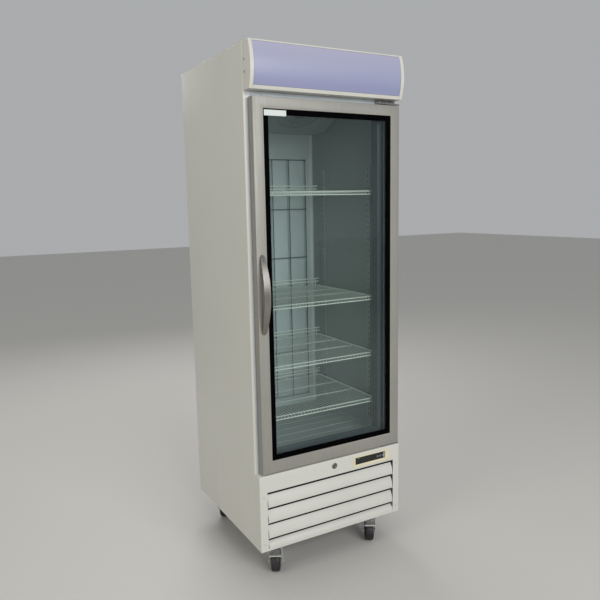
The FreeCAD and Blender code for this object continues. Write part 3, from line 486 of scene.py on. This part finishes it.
def add_turned(bm, profile, matrix, steps=32):
    """A turned solid: an outline of (radius, height) spun about Z, then placed."""
    before = set(bm.verts)
    verts = [bm.verts.new((radius, 0, height)) for radius, height in profile]
    edges = [bm.edges.new(pair) for pair in zip(verts, verts[1:])]
    bmesh.ops.spin(bm, geom=verts + edges, cent=(0, 0, 0), axis=(0, 0, 1), angle=math.tau,
                   steps=steps, use_merge=True)
    made = [vert for vert in bm.verts if vert not in before]
    bmesh.ops.transform(bm, matrix=matrix, verts=made)
    return made


def add_ring_frame(bm, outer, inner, profile):
    """A mitred frame: a section of (share of the way in, depth) carried round a rectangle.

    outer and inner are (left, low, right, high)."""
    def corner(share, depth, right_side, upper):
        left, low, right, high = [a + (b - a) * share for a, b in zip(outer, inner)]
        return Vector((right if right_side else left, depth, high if upper else low))

    middle = Vector(((outer[0] + outer[2]) / 2, 0, (outer[1] + outer[3]) / 2))
    share, depth = profile[0]
    verts = [bm.verts.new(corner(share, depth, *side)) for side in ((0, 0), (1, 0), (1, 1), (0, 1))]
    edges = [bm.edges.new((verts[i], verts[(i + 1) % 4])) for i in range(4)]
    made = list(verts)
    for share, depth in profile[1:] + profile[:1]:
        grown = bmesh.ops.extrude_edge_only(bm, edges=edges)["geom"]
        verts = [item for item in grown if isinstance(item, bmesh.types.BMVert)]
        edges = [item for item in grown if isinstance(item, bmesh.types.BMEdge)
                 and all(vert in verts for vert in item.verts)]
        for vert in verts:
            vert.co = corner(share, depth, vert.co.x > middle.x, vert.co.z > middle.z)
        made += verts
    bmesh.ops.remove_doubles(bm, verts=made, dist=1e-7)
    bm.normal_update()


def soften(item, width, segments=3, angle=30):
    """Round a finished piece's sharp edges."""
    bevel = item.modifiers.new("edges", "BEVEL")
    bevel.width = width
    bevel.segments = segments
    bevel.limit_method = "ANGLE"
    bevel.angle_limit = math.radians(angle)
    bevel.harden_normals = True
    return item


def thicken(item, thickness, outward=-1.0):
    """Give an open sheet its thickness, with crisp flat edges."""
    wall = item.modifiers.new("wall", "SOLIDIFY")
    wall.thickness = thickness
    wall.offset = outward
    return soften(item, 0.25 * MM, 2)


def piece(name, bm, finish, body, replaces=(), edge=None, segments=3, thick=None, angle=35):
    """Turn a bmesh into an object that rides on a body, with the finish of the given name."""
    bmesh.ops.recalc_face_normals(bm, faces=bm.faces)
    mesh = bpy.data.meshes.new(name)
    bm.to_mesh(mesh)
    bm.free()
    item = bpy.data.objects.new(name, mesh)
    bpy.context.scene.collection.objects.link(item)
    mesh.materials.append(finishes[finish])
    mesh.shade_smooth()
    mesh.set_sharp_from_angle(angle=math.radians(angle))
    if thick is not None:
        thicken(item, thick)
    if edge is not None:
        soften(item, edge, segments)
    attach(item, body)
    if replaces:
        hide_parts(*replaces)
    return item


# ---------------------------------------------------------------- cabinet

def side_skin(node, side):
    """Folded side panel with rounded front and back corners."""
    low, high = span(node)
    outer = low.x if side < 0 else high.x
    lip = high.x if side < 0 else low.x
    path = [(lip, low.y), (outer, low.y), (outer, high.y), (lip, high.y)]
    bm = bmesh.new()
    verts = [bm.verts.new((x, y, low.z)) for x, y in path]
    edges = [bm.edges.new(pair) for pair in zip(verts, verts[1:])]
    made = bmesh.ops.extrude_edge_only(bm, edges=edges)
    tops = [item for item in made["geom"] if isinstance(item, bmesh.types.BMVert)]
    bmesh.ops.translate(bm, verts=tops, vec=(0, 0, high.z - low.z))
    corners = [edge for edge in bm.edges if abs(edge.verts[0].co.z - edge.verts[1].co.z) > 0.1
               and abs(edge.verts[0].co.x - outer) < MM]
    bmesh.ops.bevel(bm, geom=corners, offset=4 * MM, segments=5, profile=0.5, affect="EDGES",
                    material=-1)
    item = piece(node + "_skin", bm, "white_paint", "cabinet", [node])
    face_outwards(item, Vector((-side, 0, 0)))
    return thicken(item, 1.5 * MM)


def face_outwards(item, inward):
    """Turn an open sheet's faces so that they look away from the given direction."""
    mesh = item.data
    biggest = max(mesh.polygons, key=lambda face: face.area)
    if biggest.normal.dot(inward) > 0:
        bm = bmesh.new()
        bm.from_mesh(mesh)
        bmesh.ops.reverse_faces(bm, faces=bm.faces)
        bm.to_mesh(mesh)
        bm.free()


def top_skin():
    """Flat top sheet."""
    low, high = span("top_panel")
    bm = bmesh.new()
    add_box(bm, low, high)
    return piece("top_panel_skin", bm, "white_paint", "cabinet", ["top_panel"], edge=0.7 * MM)


def back_skin():
    """Flat back sheet with two pressed stiffening fields."""
    low, high = span("back_panel")
    bm = bmesh.new()
    add_box(bm, low, high)
    middle = (low.z + high.z) / 2
    cut_box(bm, "z", middle)
    rear = [face for face in bm.faces if face.normal.y > 0.9]
    for face in rear:
        bmesh.ops.inset_individual(bm, faces=[face], thickness=0.06)
        bmesh.ops.inset_individual(bm, faces=[face], thickness=0.006, depth=-0.0009)
    return piece("back_panel_skin", bm, "white_paint", "cabinet", ["back_panel"], edge=0.4 * MM, segments=2)


def cut_box(bm, axis, place):
    """Slice everything with a plane square to one axis."""
    normal = Vector([1.0 if name == axis else 0.0 for name in "xyz"])
    geometry = bm.verts[:] + bm.edges[:] + bm.faces[:]
    bmesh.ops.bisect_plane(bm, geom=geometry, dist=1e-6, plane_co=normal * place, plane_no=normal)


def face_frame():
    """Moulded frame round the door opening, its mouth edges rounded."""
    low, high = span("breaker_frame")
    floor = span("inner_liner")[0].z
    mouth_half = 258 * MM
    mouth_low = floor + 40 * MM
    mouth_high = floor + 1385 * MM
    bm = bmesh.new()
    add_ring_frame(bm, (low.x, low.z, high.x, high.z), (-mouth_half, mouth_low, mouth_half, mouth_high),
                   [(0.0, high.y), (0.0, low.y), (1.0, low.y), (1.0, high.y)])
    return piece("face_frame", bm, "face_white", "cabinet", ["breaker_frame"], edge=2.5 * MM)


def liner_shell():
    """Liner with rounded inside corners, open at the front."""
    low, high = span("inner_liner")
    bm = bmesh.new()
    add_box(bm, low + Vector((LINER_WALL, 0, LINER_WALL)), high - Vector((LINER_WALL,) * 3))
    front = [face for face in bm.faces if face.normal.y < -0.9]
    bmesh.ops.delete(bm, geom=front, context="FACES")
    inside = [edge for edge in bm.edges if len(edge.link_faces) == 2]
    bmesh.ops.bevel(bm, geom=inside, offset=12 * MM, segments=4, profile=0.5, affect="EDGES", material=-1)
    item = piece("liner_shell", bm, "liner_white", "cabinet", ["inner_liner"])
    return thicken(item, LINER_WALL, 1.0)


def floor_ribs():
    """Low rounded ribs pressed across the liner's floor."""
    low, high = span("inner_liner")
    floor = low.z + LINER_WALL + 0.5 * MM
    bm = bmesh.new()
    for row in range(8):
        y = low.y + (60 + 65 * row) * MM
        start = Vector((low.x + 22 * MM, y, floor))
        end = Vector((high.x - 22 * MM, y, floor))
        for vert in add_rod(bm, start, end, 7 * MM, 16):
            vert.co.z = floor + max(vert.co.z - floor, 0) * 0.55
    bmesh.ops.remove_doubles(bm, verts=bm.verts, dist=1e-5)
    return piece("floor_ribs", bm, "liner_white", "cabinet", edge=1 * MM)


# ---------------------------------------------------------------- sign

def sign_arc():
    """The sign's bow in side view: its circle's centre (y, z) and radius, from the housing's box."""
    low, high = span("sign_housing")
    half = (high.z - low.z) / 2
    rise = 17 * MM
    radius = (half ** 2 + rise ** 2) / (2 * rise)
    return low.y + radius, (low.z + high.z) / 2, radius


def bow_points(low_z, high_z, inset, count=15):
    """Points up the bow between two heights, inset from its outer face."""
    centre_y, centre_z, radius = sign_arc()
    points = []
    for step in range(count):
        z = low_z + (high_z - low_z) * step / (count - 1)
        points.append((centre_y - math.sqrt((radius - inset) ** 2 - (z - centre_z) ** 2), z))
    return points


def sign_frame():
    """Two bowed end caps, and the rails between them."""
    low, high = span("sign_housing")
    left, right = low.x + 1 * MM, high.x - 1 * MM
    cap = 15 * MM
    bm = bmesh.new()
    outline = [(high.y, low.z)] + bow_points(low.z, high.z, 0) + [(high.y, high.z)]
    for start in (left, right - cap):
        add_extrusion(bm, [(start, y, z) for y, z in outline], (cap, 0, 0))
    for base, top in ((low.z, low.z + 13 * MM), (high.z - 6 * MM, high.z)):
        rail = [(high.y, base)] + bow_points(base, top, 0.3 * MM, 3) + [(high.y, top)]
        add_extrusion(bm, [(left + cap, y, z) for y, z in rail], (right - left - 2 * cap, 0, 0))
    add_box(bm, (left + cap, high.y - 4 * MM, low.z + 13 * MM), (right - cap, high.y, high.z - 6 * MM))
    return piece("sign_frame", bm, "sign_frame_white", "cabinet", ["sign_housing"], edge=1.6 * MM)


def sign_ends():
    """Outer faces of the sign's end caps, each with its outward direction."""
    low, high = span("sign_housing")
    return ((-1, low.x + 1 * MM), (1, high.x - 1 * MM))


def sign_end_pads():
    """Raised oval pad on each end of the sign."""
    bm = bmesh.new()
    y = FRONT - 18 * MM
    for side, x in sign_ends():
        for z in SIGN_SCREWS:
            add_rod(bm, (x - side * 0.5 * MM, y, z), (x + side * 1 * MM, y, z), 8 * MM, 24)
        outer = x + side * 0.9 * MM
        add_box(bm, (min(x, outer), y - 8 * MM, SIGN_SCREWS[0]), (max(x, outer), y + 8 * MM, SIGN_SCREWS[1]))
    return piece("sign_end_pads", bm, "sign_frame_white", "cabinet", edge=0.3 * MM)


def sign_end_screws():
    """Two screw heads on each pad."""
    bm = bmesh.new()
    y = FRONT - 18 * MM
    for side, x in sign_ends():
        for z in SIGN_SCREWS:
            add_rod(bm, (x + side * 0.4 * MM, y, z), (x + side * 2.1 * MM, y, z), 4 * MM, 20)
    return piece("sign_end_screws", bm, "zinc", "cabinet", edge=0.4 * MM)


def sign_lens():
    """Bowed acrylic sheet set just inside the frame."""
    low, high = span("sign_panel")
    bm = bmesh.new()
    verts = [bm.verts.new((low.x, y, z)) for y, z in bow_points(low.z, high.z, 1.5 * MM, 25)]
    edges = [bm.edges.new(pair) for pair in zip(verts, verts[1:])]
    made = bmesh.ops.extrude_edge_only(bm, edges=edges)
    far = [item for item in made["geom"] if isinstance(item, bmesh.types.BMVert)]
    bmesh.ops.translate(bm, verts=far, vec=(high.x - low.x, 0, 0))
    item = piece("sign_lens", bm, "sign_lens", "cabinet", ["sign_panel"])
    face_outwards(item, Vector((0, 1, 0)))
    return thicken(item, 3 * MM)


# ---------------------------------------------------------------- door

def door_rim():
    """Mitred aluminium frame: rounded outer edge, shallow groove and a raised inner lip."""
    low, high = DOOR
    outer = (low.x, low.z, high.x, high.z)
    inner = (GLASS[0].x, GLASS[0].z, GLASS[1].x, GLASS[1].z)
    front = low.y
    section = [(0.0, high.y), (0.0, front + 9 * MM), (0.012, front + 8.2 * MM), (0.012, front + 7 * MM),
               (0.0, front + 6.2 * MM), (0.0, front + 1.6 * MM), (0.012, front + 0.5 * MM),
               (0.04, front), (0.80, front), (0.808, front + 0.5 * MM), (0.828, front + 0.5 * MM),
               (0.836, front), (0.955, front), (0.985, front + 0.5 * MM), (1.0, front + 2.0 * MM),
               (1.0, high.y)]
    bm = bmesh.new()
    add_ring_frame(bm, outer, inner, section)
    sink_bolt_pocket(bm, low.z)
    return piece("door_rim", bm, "satin_aluminium", "door", ["door_frame"], angle=50)


def sink_bolt_pocket(bm, base):
    """A pocket in the frame's underside that the lock's bolt rises into."""
    bolt_low, bolt_high = span("lock_bolt")
    margin = 0.8 * MM
    for place in (bolt_low.x - margin, bolt_high.x + margin):
        cut_box(bm, "x", place)
    for place in (bolt_low.y - margin, bolt_high.y + margin):
        cut_box(bm, "y", place)
    bm.normal_update()

    def in_mouth(face):
        spot = face.calc_center_median()
        flat = abs(face.normal.z) > 0.9 and abs(spot.z - base) < MM
        return flat and bolt_low.x < spot.x < bolt_high.x and bolt_low.y < spot.y < bolt_high.y

    mouth = [face for face in bm.faces if in_mouth(face)]
    made = bmesh.ops.extrude_face_region(bm, geom=mouth)
    bmesh.ops.delete(bm, geom=mouth, context="FACES_ONLY")
    roof = [item for item in made["geom"] if isinstance(item, bmesh.types.BMVert)]
    bmesh.ops.translate(bm, verts=roof, vec=(0, 0, 16 * MM))


def glass_border():
    """Black band painted round the pane, and the spacer bar behind it."""
    low, high = span("glass_spacer")
    outer = (low.x, low.z, high.x, high.z)
    inner = (low.x + BAND, low.z + BAND, high.x - BAND, high.z - BAND)
    bm = bmesh.new()
    add_ring_frame(bm, outer, inner, [(0.0, high.y), (0.0, low.y), (1.0, low.y), (1.0, low.y + 0.4 * MM),
                                      (0.72, low.y + 0.6 * MM), (0.72, high.y)])
    return piece("glass_border", bm, "black_spacer", "door", ["glass_spacer"])


def border_band():
    """Black ink band round the face of the pane."""
    low, high = GLASS
    front, back = low.y - 0.3 * MM, low.y - 0.05 * MM
    outer = (low.x, low.z, high.x, high.z)
    inner = (low.x + BAND, low.z + BAND, high.x - BAND, high.z - BAND)
    bm = bmesh.new()
    add_ring_frame(bm, outer, inner, [(0.0, back), (0.0, front), (1.0, front), (1.0, back)])
    return piece("border_band", bm, "black_spacer", "door")


def pane_label():
    """Blank pale label in the pane's upper corner."""
    low, high = GLASS
    bm = bmesh.new()
    add_box(bm, (low.x + 4 * MM, low.y - 0.6 * MM, high.z - 25 * MM),
            (low.x + 96 * MM, low.y - 0.35 * MM, high.z - 4 * MM))
    return piece("pane_label", bm, "label", "door", edge=0.1 * MM)


def door_seal():
    """Magnetic gasket: a bellows with two folds."""
    low, high = span("door_gasket")
    wide = 22 * MM
    outer = (low.x, low.z, high.x, high.z)
    inner = (low.x + wide, low.z + wide, high.x - wide, high.z - wide)
    shares = [(0.0, 0.0), (0.0, 0.15), (0.10, 0.30), (0.0, 0.48), (0.10, 0.64), (0.02, 0.80), (0.08, 1.0),
              (0.75, 1.0), (0.9, 0.6), (1.0, 0.0)]
    section = [(inward, low.y + (high.y - low.y) * back) for inward, back in shares]
    bm = bmesh.new()
    add_ring_frame(bm, outer, inner, section)
    return piece("door_seal", bm, "gasket_grey", "door", ["door_gasket"], angle=80)


def bow_handle():
    """Bowed flat strap, narrowing to rounded ends, on two posts."""
    low, high = span("door_handle")
    rise = high.y - low.y
    half = (high.z - low.z) / 2
    radius = (half ** 2 + rise ** 2) / (2 * rise)
    middle = (low + high) / 2
    centre = Vector((low.x, low.y + radius, middle.z))
    wide = (high.x - low.x) / 2
    sweep = math.asin(half / radius)
    outline = []
    for reach, way in ((radius, 1), (radius - 6 * MM, -1)):
        for step in range(49):
            angle = sweep * way * math.sin(math.pi / 2 * (step / 24 - 1))
            outline.append(centre + Vector((0, -reach * math.cos(angle), reach * math.sin(angle))))
    bm = bmesh.new()
    add_extrusion(bm, outline, (2 * wide, 0, 0))
    for vert in bm.verts:
        along = half - abs(vert.co.z - middle.z)
        share = 0.68 + 0.22 * min(along / (half * 0.7), 1)
        if along < wide:
            share *= math.sqrt(max(1 - ((wide - along) / wide) ** 2, 0.03))
        vert.co.x = middle.x + (vert.co.x - middle.x) * share
    for side in (-1, 1):
        z = middle.z + side * 0.122
        add_rod(bm, (middle.x, high.y, z), (middle.x, high.y - 0.012, z), 8 * MM, 24)
    return piece("bow_handle", bm, "brushed_handle", "door", ["door_handle"], edge=1.8 * MM, segments=4)


# ---------------------------------------------------------------- grille, lock and controller

def louvre_rows():
    """Low and high edge of each opening in the grille, from the top down. The last one is cut short."""
    base = span("grille_panel")[0].z
    rows = []
    for row, tall in enumerate((62, 62, 62, 62 * 0.72)):
        top = base + (247 - 65 * row) * MM
        rows.append((top - tall * MM, top))
    return rows


def grille_skin():
    """Folded panel with four long openings and a window for the controller."""
    low, high = span("grille_panel")
    window_low, window_high = span("display_module")
    rows = louvre_rows()
    bm = bmesh.new()
    add_box(bm, low, high)
    gone = [face for face in bm.faces if face.normal.y > 0.9 or face.normal.z < -0.9]
    bmesh.ops.delete(bm, geom=gone, context="FACES")
    for x in (-LOUVRE_HALF, LOUVRE_HALF, window_low.x, window_high.x):
        cut_box(bm, "x", x)
    for base, top in rows:
        cut_box(bm, "z", top)
        cut_box(bm, "z", base)
    cut_box(bm, "z", window_low.z)
    cut_box(bm, "z", window_high.z)

    def is_open(face):
        spot = face.calc_center_median()
        if face.normal.y > -0.9:
            return False
        if abs(spot.x) < LOUVRE_HALF and any(base < spot.z < top for base, top in rows):
            return True
        return window_low.x < spot.x < window_high.x and window_low.z < spot.z < window_high.z

    bmesh.ops.delete(bm, geom=[face for face in bm.faces if is_open(face)], context="FACES")
    rim = [edge for edge in bm.edges if len(edge.link_faces) == 2 and edge.calc_face_angle(0) > 1.0]
    bmesh.ops.bevel(bm, geom=rim, offset=3 * MM, segments=4, profile=0.5, affect="EDGES", material=-1)
    item = piece("grille_skin", bm, "white_paint", "cabinet", ["grille_panel"], thick=1.5 * MM)
    face_outwards(item, Vector((0, 1, 0)))
    return item


def grille_louvres():
    """Bowed blade in each opening, leaning back from its foot to leave a gap at the top."""
    front = span("grille_panel")[0].y
    lean = ((0.2, 2 * MM, 0.0), (0.9, 0.0, 0.3), (3.6, 0.0, 0.55), (8.5, 0.0, 0.8), (14, 0.0, 1.0))
    bm = bmesh.new()
    for base, top in louvre_rows():
        rise = top - 15 * MM - base
        line = [(front + 0.6 * MM, base - 0.4 * MM)]
        line += [(front + back * MM, base + step + rise * share) for back, step, share in lean]
        verts = [bm.verts.new((3 * MM - LOUVRE_HALF, y, z)) for y, z in line]
        edges = [bm.edges.new(pair) for pair in zip(verts, verts[1:])]
        made = bmesh.ops.extrude_edge_only(bm, edges=edges)
        far = [item for item in made["geom"] if isinstance(item, bmesh.types.BMVert)]
        bmesh.ops.translate(bm, verts=far, vec=(2 * LOUVRE_HALF - 6 * MM, 0, 0))
    item = piece("grille_louvres", bm, "white_paint", "cabinet", angle=60)
    face_outwards(item, Vector((0, 1, 0)))
    return thicken(item, 1.2 * MM)


def grille_shade_sheet():
    """Dark sheet behind the louvres: painted shade seen through the gaps above the blades."""
    low = span("grille_panel")[0]
    bm = bmesh.new()
    add_box(bm, (2 * MM - LOUVRE_HALF, low.y + 18.5 * MM, low.z + 14 * MM),
            (LOUVRE_HALF - 2 * MM, low.y + 20.5 * MM, low.z + 252 * MM))
    return piece("grille_shade_sheet", bm, "shade_sheet", "cabinet", edge=0.3 * MM)


def along_y(spot):
    """Place something drawn about Z so that its Z points towards the front."""
    return Matrix.Translation(spot) @ Matrix.Rotation(math.pi / 2, 4, "X")


def lock_rose():
    """Turned collar of the key lock."""
    low, high = span("lock_barrel")
    centre = Vector(((low.x + high.x) / 2, low.y + 1.4 * MM, (low.z + high.z) / 2))
    profile = [(6.05, -28), (6.05, 1.2), (7.2, 1.9), (9.5, 1.9), (11.8, 1.2), (13, 0), (13, -1.4),
               (9, -1.6), (9, -28), (6.05, -28)]
    bm = bmesh.new()
    add_turned(bm, [(r * MM, z * MM) for r, z in profile], along_y(centre), 40)
    return piece("lock_rose", bm, "lock_chrome", "cabinet", ["lock_barrel"], angle=40)


def display_surround():
    """Cream surround with a sloped inner edge, round a dark window."""
    low, high = span("display_bezel")
    window_low, window_high = span("display_module")
    slack = 0.5 * MM
    outer = (low.x, low.z, high.x, high.z)
    inner = (window_low.x - slack, window_low.z - slack, window_high.x + slack, window_high.z + slack)
    section = [(0.0, high.y), (0.0, low.y + 0.8 * MM), (0.08, low.y), (0.75, low.y), (1.0, low.y + 1.6 * MM),
               (1.0, high.y)]
    bm = bmesh.new()
    add_ring_frame(bm, outer, inner, section)
    return piece("display_surround", bm, "bezel_cream", "cabinet", ["display_bezel"], edge=0.5 * MM)


def display_bar():
    """Pale upright bar near the right end of the window."""
    low, high = span("display_module")
    bm = bmesh.new()
    add_box(bm, (high.x - 8 * MM, low.y - 0.5 * MM, low.z + 1.5 * MM),
            (high.x - 3.5 * MM, low.y + 0.5 * MM, high.z - 1.5 * MM))
    return piece("display_bar", bm, "silver", "cabinet", edge=0.3 * MM)


def display_green_glint():
    """Green patch in the window's upper left corner: a painted glint."""
    low, high = span("display_module")
    bm = bmesh.new()
    add_box(bm, (low.x + 8 * MM, low.y - 0.5 * MM, high.z - 5.5 * MM),
            (low.x + 20 * MM, low.y + 0.5 * MM, high.z - 2 * MM))
    return piece("display_green_glint", bm, "green", "cabinet", edge=0.3 * MM)


# ---------------------------------------------------------------- wire goods

def wire_shelf(number):
    """Coated wire shelf: heavy rim, front-to-back wires, a hanging front lip and a raised rear guard."""
    node = "shelf_%d" % number
    low, high = span(node)
    left, right, back = low.x, high.x, high.y
    front = low.y + 2.75 * MM
    deck = high.z - 37 * MM
    lip = deck - 13 * MM
    rim = 3 * MM
    bm = bmesh.new()
    for x in (left + rim, right - rim):
        add_rod(bm, (x, front, deck), (x, back, deck), rim, 16)
    for y in (front + rim, FRONT + 224 * MM, FRONT + 368 * MM, back - rim):
        add_rod(bm, (left + rim, y, deck), (right - rim, y, deck), rim * 0.8, 14)
    y = front - 0.5 * MM
    add_rod(bm, (left + 2 * MM, y, lip), (right - 2 * MM, y, lip), rim * 0.8, 14)
    y = front + 1 * MM
    for x in (left + 10 * MM, -95 * MM, 95 * MM, right - 10 * MM):
        add_rod(bm, (x, y, lip), (x, y, deck), 2 * MM, 10)
    for row in range(-17, 18):
        x, z = PITCH * row, deck + 2.7 * MM
        add_rod(bm, (x, front - 2 * MM, z), (x, back - 3 * MM, z), 1.35 * MM, 8)
        add_rod(bm, (x, front - 1.4 * MM, lip), (x, front - 1.4 * MM, deck + 3.2 * MM), 1.3 * MM, 8)
    y = back - 9 * MM
    for rise in (0.6 * 36 * MM, 36 * MM):
        add_rod(bm, (left + 8 * MM, y, deck + rise), (right - 8 * MM, y, deck + rise), 2.6 * MM, 12)
    y = back - 6 * MM
    for row in (-16.5, -11.5, -5.5, 0.5, 5.5, 11.5, 16.5):
        add_rod(bm, (PITCH * row, y, deck), (PITCH * row, y, deck + 37 * MM), 2.2 * MM, 10)
    return piece("wire_" + node, bm, "wire_coat", node, [node], angle=50)


# ---------------------------------------------------------------- casters

def caster_matrix(name):
    """From a frame about the swivel axis at floor level to the caster's place, turned as it stands."""
    pivot = Vector(JOINTS["swivel_" + name]["pos_m"])
    along = Vector(JOINTS["roll_" + name]["axis"])
    turn = math.atan2(along.y, along.x)
    return Matrix.Translation((pivot.x, pivot.y, 0)) @ Matrix.Rotation(turn, 4, "Z")


def caster_wheel(name):
    """Wheel with a crowned tread and a recessed web."""
    radius, half, trail = 45, 19, 32
    side = [(5.05, half), (12, half), (13, half - 1.5), (14.5, half - 5), (31, half - 5), (33, half - 1.2),
            (36, half - 0.2), (40, half - 1.2), (43.4, half - 4), (44.6, half - 8)]
    profile = [(r, -z) for r, z in side] + [(radius, 0)] + side[::-1] + [(5.05, -half)]
    hub = Matrix.Translation((0, -trail * MM, radius * MM)) @ Matrix.Rotation(math.pi / 2, 4, "Y")
    bm = bmesh.new()
    add_turned(bm, [(r * MM, z * MM) for r, z in profile], caster_matrix(name) @ hub, 56)
    return piece("wheel_" + name, bm, "wheel_black", "wheel_" + name, ["caster_wheel_" + name], angle=40)


def caster_fork(name):
    """Pressed fork: crown, two tapered legs, axle bolt with a nut at each end."""
    place = caster_matrix(name)
    bm = bmesh.new()
    crown = [(6.05, 106), (28, 106), (29.5, 107.2), (29.5, 110), (27, 112.6), (12, 113), (6.05, 113),
             (6.05, 106)]
    add_turned(bm, [(r * MM, z * MM) for r, z in crown], place, 40)
    legs = add_box(bm, (-28 * MM, -40 * MM, 103 * MM), (28 * MM, 20 * MM, 106.5 * MM))
    outline = [(20, 106), (-44, 106), (-47, 45), (-43, 37), (-36, 33), (-28, 33), (-21, 37), (-18, 45),
               (-4, 77)]
    for start in (-28, 25):
        legs += add_extrusion(bm, [(start * MM, y * MM, z * MM) for y, z in outline], (3 * MM, 0, 0))
    axle = Vector((0, -32 * MM, 45 * MM))
    for start, end, radius, sides in ((-29, 29, 5, 24), (-32, -28, 8.5, 6), (28, 32, 8.5, 6)):
        inner, outer = axle + Vector((start * MM, 0, 0)), axle + Vector((end * MM, 0, 0))
        legs += add_rod(bm, inner, outer, radius * MM, sides)
    bmesh.ops.transform(bm, matrix=place, verts=legs)
    return piece("fork_" + name, bm, "fork_zinc", "fork_" + name, ["caster_fork_" + name], edge=0.7 * MM,
                 segments=2)


def brake_pedal(name):
    """Pressed foot pedal with turned-down sides and a broad toe."""
    bm = bmesh.new()
    verts = add_box(bm, (-18 * MM, -80 * MM, 95 * MM), (18 * MM, -28 * MM, 97 * MM))
    for x in (-18, 16.5):
        verts += add_box(bm, (x * MM, -76 * MM, 92 * MM), ((x + 1.5) * MM, -28 * MM, 95.5 * MM))
    verts += add_box(bm, (-24 * MM, -90 * MM, 91.5 * MM), (25 * MM, -78 * MM, 97 * MM))
    verts += add_rod(bm, (-36 * MM, -30 * MM, 96 * MM), (20.5 * MM, -30 * MM, 96 * MM), 3 * MM, 16)
    bmesh.ops.transform(bm, matrix=caster_matrix(name), verts=verts)
    return piece("pedal_" + name, bm, "fork_zinc", "brake_" + name, ["brake_lever_" + name], edge=0.6 * MM,
                 segments=2)


def caster_tops():
    """Mounting plates with rounded corners, bearing races and bolt heads."""
    bm = bmesh.new()
    for name in ("front_left", "front_right", "rear_left", "rear_right"):
        pivot = Vector(JOINTS["swivel_" + name]["pos_m"])
        place = Matrix.Translation((pivot.x, pivot.y, 0))
        verts = add_box(bm, (-46 * MM, -34 * MM, 126 * MM), (46 * MM, 34 * MM, 130 * MM))
        for x in (-36, 36):
            for y in (-24, 24):
                verts += add_rod(bm, (x * MM, y * MM, 121 * MM), (x * MM, y * MM, 126 * MM), 6.5 * MM, 6)
        bmesh.ops.transform(bm, matrix=place, verts=verts)
        race = [(0, 113.5), (22, 113.5), (25.5, 115), (27, 118), (26, 121), (29, 123.5), (31, 126.2),
                (0, 126.2)]
        add_turned(bm, [(r * MM, z * MM) for r, z in race], place, 40)
        add_rod(bm, (pivot.x, pivot.y, 102 * MM), (pivot.x, pivot.y, 114 * MM), 6 * MM, 24)
    return piece("caster_tops", bm, "zinc", "cabinet", ["caster_plates"], edge=0.6 * MM, segments=2)


# ---------------------------------------------------------------- stage

def make_camera():
    """Eye-level camera to the left of the door, a little above the middle, looking slightly down."""
    yaw, pitch, roll = 0.5106, -0.1515, -0.0197
    forward = Vector((math.sin(yaw) * math.cos(pitch), math.cos(yaw) * math.cos(pitch), math.sin(pitch)))
    level = Vector((math.cos(yaw), -math.sin(yaw), 0))
    above = level.cross(forward)
    right = level * math.cos(roll) + above * math.sin(roll)
    up = above * math.cos(roll) - level * math.sin(roll)
    data = bpy.data.cameras.new("camera")
    data.lens = 37.9
    data.sensor_width = 36
    item = bpy.data.objects.new("camera", data)
    turn = Matrix((right, up, -forward)).transposed().to_4x4()
    item.matrix_world = Matrix.Translation((-1.33473, -2.44852, 1.50551)) @ turn
    bpy.context.scene.collection.objects.link(item)
    bpy.context.scene.camera = item


def lamp(name, spot, aim, size, power, color):
    """A soft rectangular light that looks at a point."""
    data = bpy.data.lights.new(name, "AREA")
    data.shape = "RECTANGLE"
    data.size, data.size_y = size
    data.energy = power
    data.color = color
    item = bpy.data.objects.new(name, data)
    item.location = spot
    item.rotation_euler = (Vector(aim) - Vector(spot)).to_track_quat("-Z", "Y").to_euler()
    bpy.context.scene.collection.objects.link(item)


def make_stage():
    """Plain floor, soft sky and three studio lights."""
    bm = bmesh.new()
    bmesh.ops.create_grid(bm, x_segments=1, y_segments=1, size=20)
    mesh = bpy.data.meshes.new("floor")
    bm.to_mesh(mesh)
    bm.free()
    floor = bpy.data.objects.new("floor", mesh)
    bpy.context.scene.collection.objects.link(floor)
    finish = Finish("floor_plain", srgb(205, 202, 196), 0.55)
    mesh.materials.append(finish.material)
    world = bpy.data.worlds.new("studio")
    bpy.context.scene.world = world
    world.use_nodes = True
    back = world.node_tree.nodes["Background"]
    back.inputs["Color"].default_value = (0.80, 0.82, 0.84, 1.0)
    back.inputs["Strength"].default_value = 0.5
    lamp("key", (0.1, -5.0, 2.7), (0, 0, 1.1), (3.2, 2.2), 144, (0.97, 0.98, 1.0))
    lamp("fill", (-5.2, -1.5, 4.0), (0, 0, 1.9), (3.0, 2.0), 70, (1.0, 0.96, 0.88))
    lamp("rear", (0.5, 3.5, 3.2), (0, 0, 1.2), (2.5, 1.5), 50, (1.0, 1.0, 1.0))
    bpy.context.scene.view_settings.view_transform = "Standard"


dress_cad()
side_skin("left_side_panel", -1)
side_skin("right_side_panel", 1)
top_skin()
back_skin()
face_frame()
liner_shell()
floor_ribs()
sign_frame()
sign_end_pads()
sign_end_screws()
sign_lens()
door_rim()
glass_border()
border_band()
pane_label()
door_seal()
bow_handle()
grille_skin()
grille_louvres()
grille_shade_sheet()
lock_rose()
display_surround()
display_bar()
display_green_glint()
for number in (1, 2, 3, 4):
    wire_shelf(number)
caster_tops()
for corner in ("front_left", "front_right", "rear_left", "rear_right"):
    caster_wheel(corner)
    caster_fork(corner)
for corner in ("front_left", "front_right"):
    brake_pedal(corner)
make_camera()
make_stage()
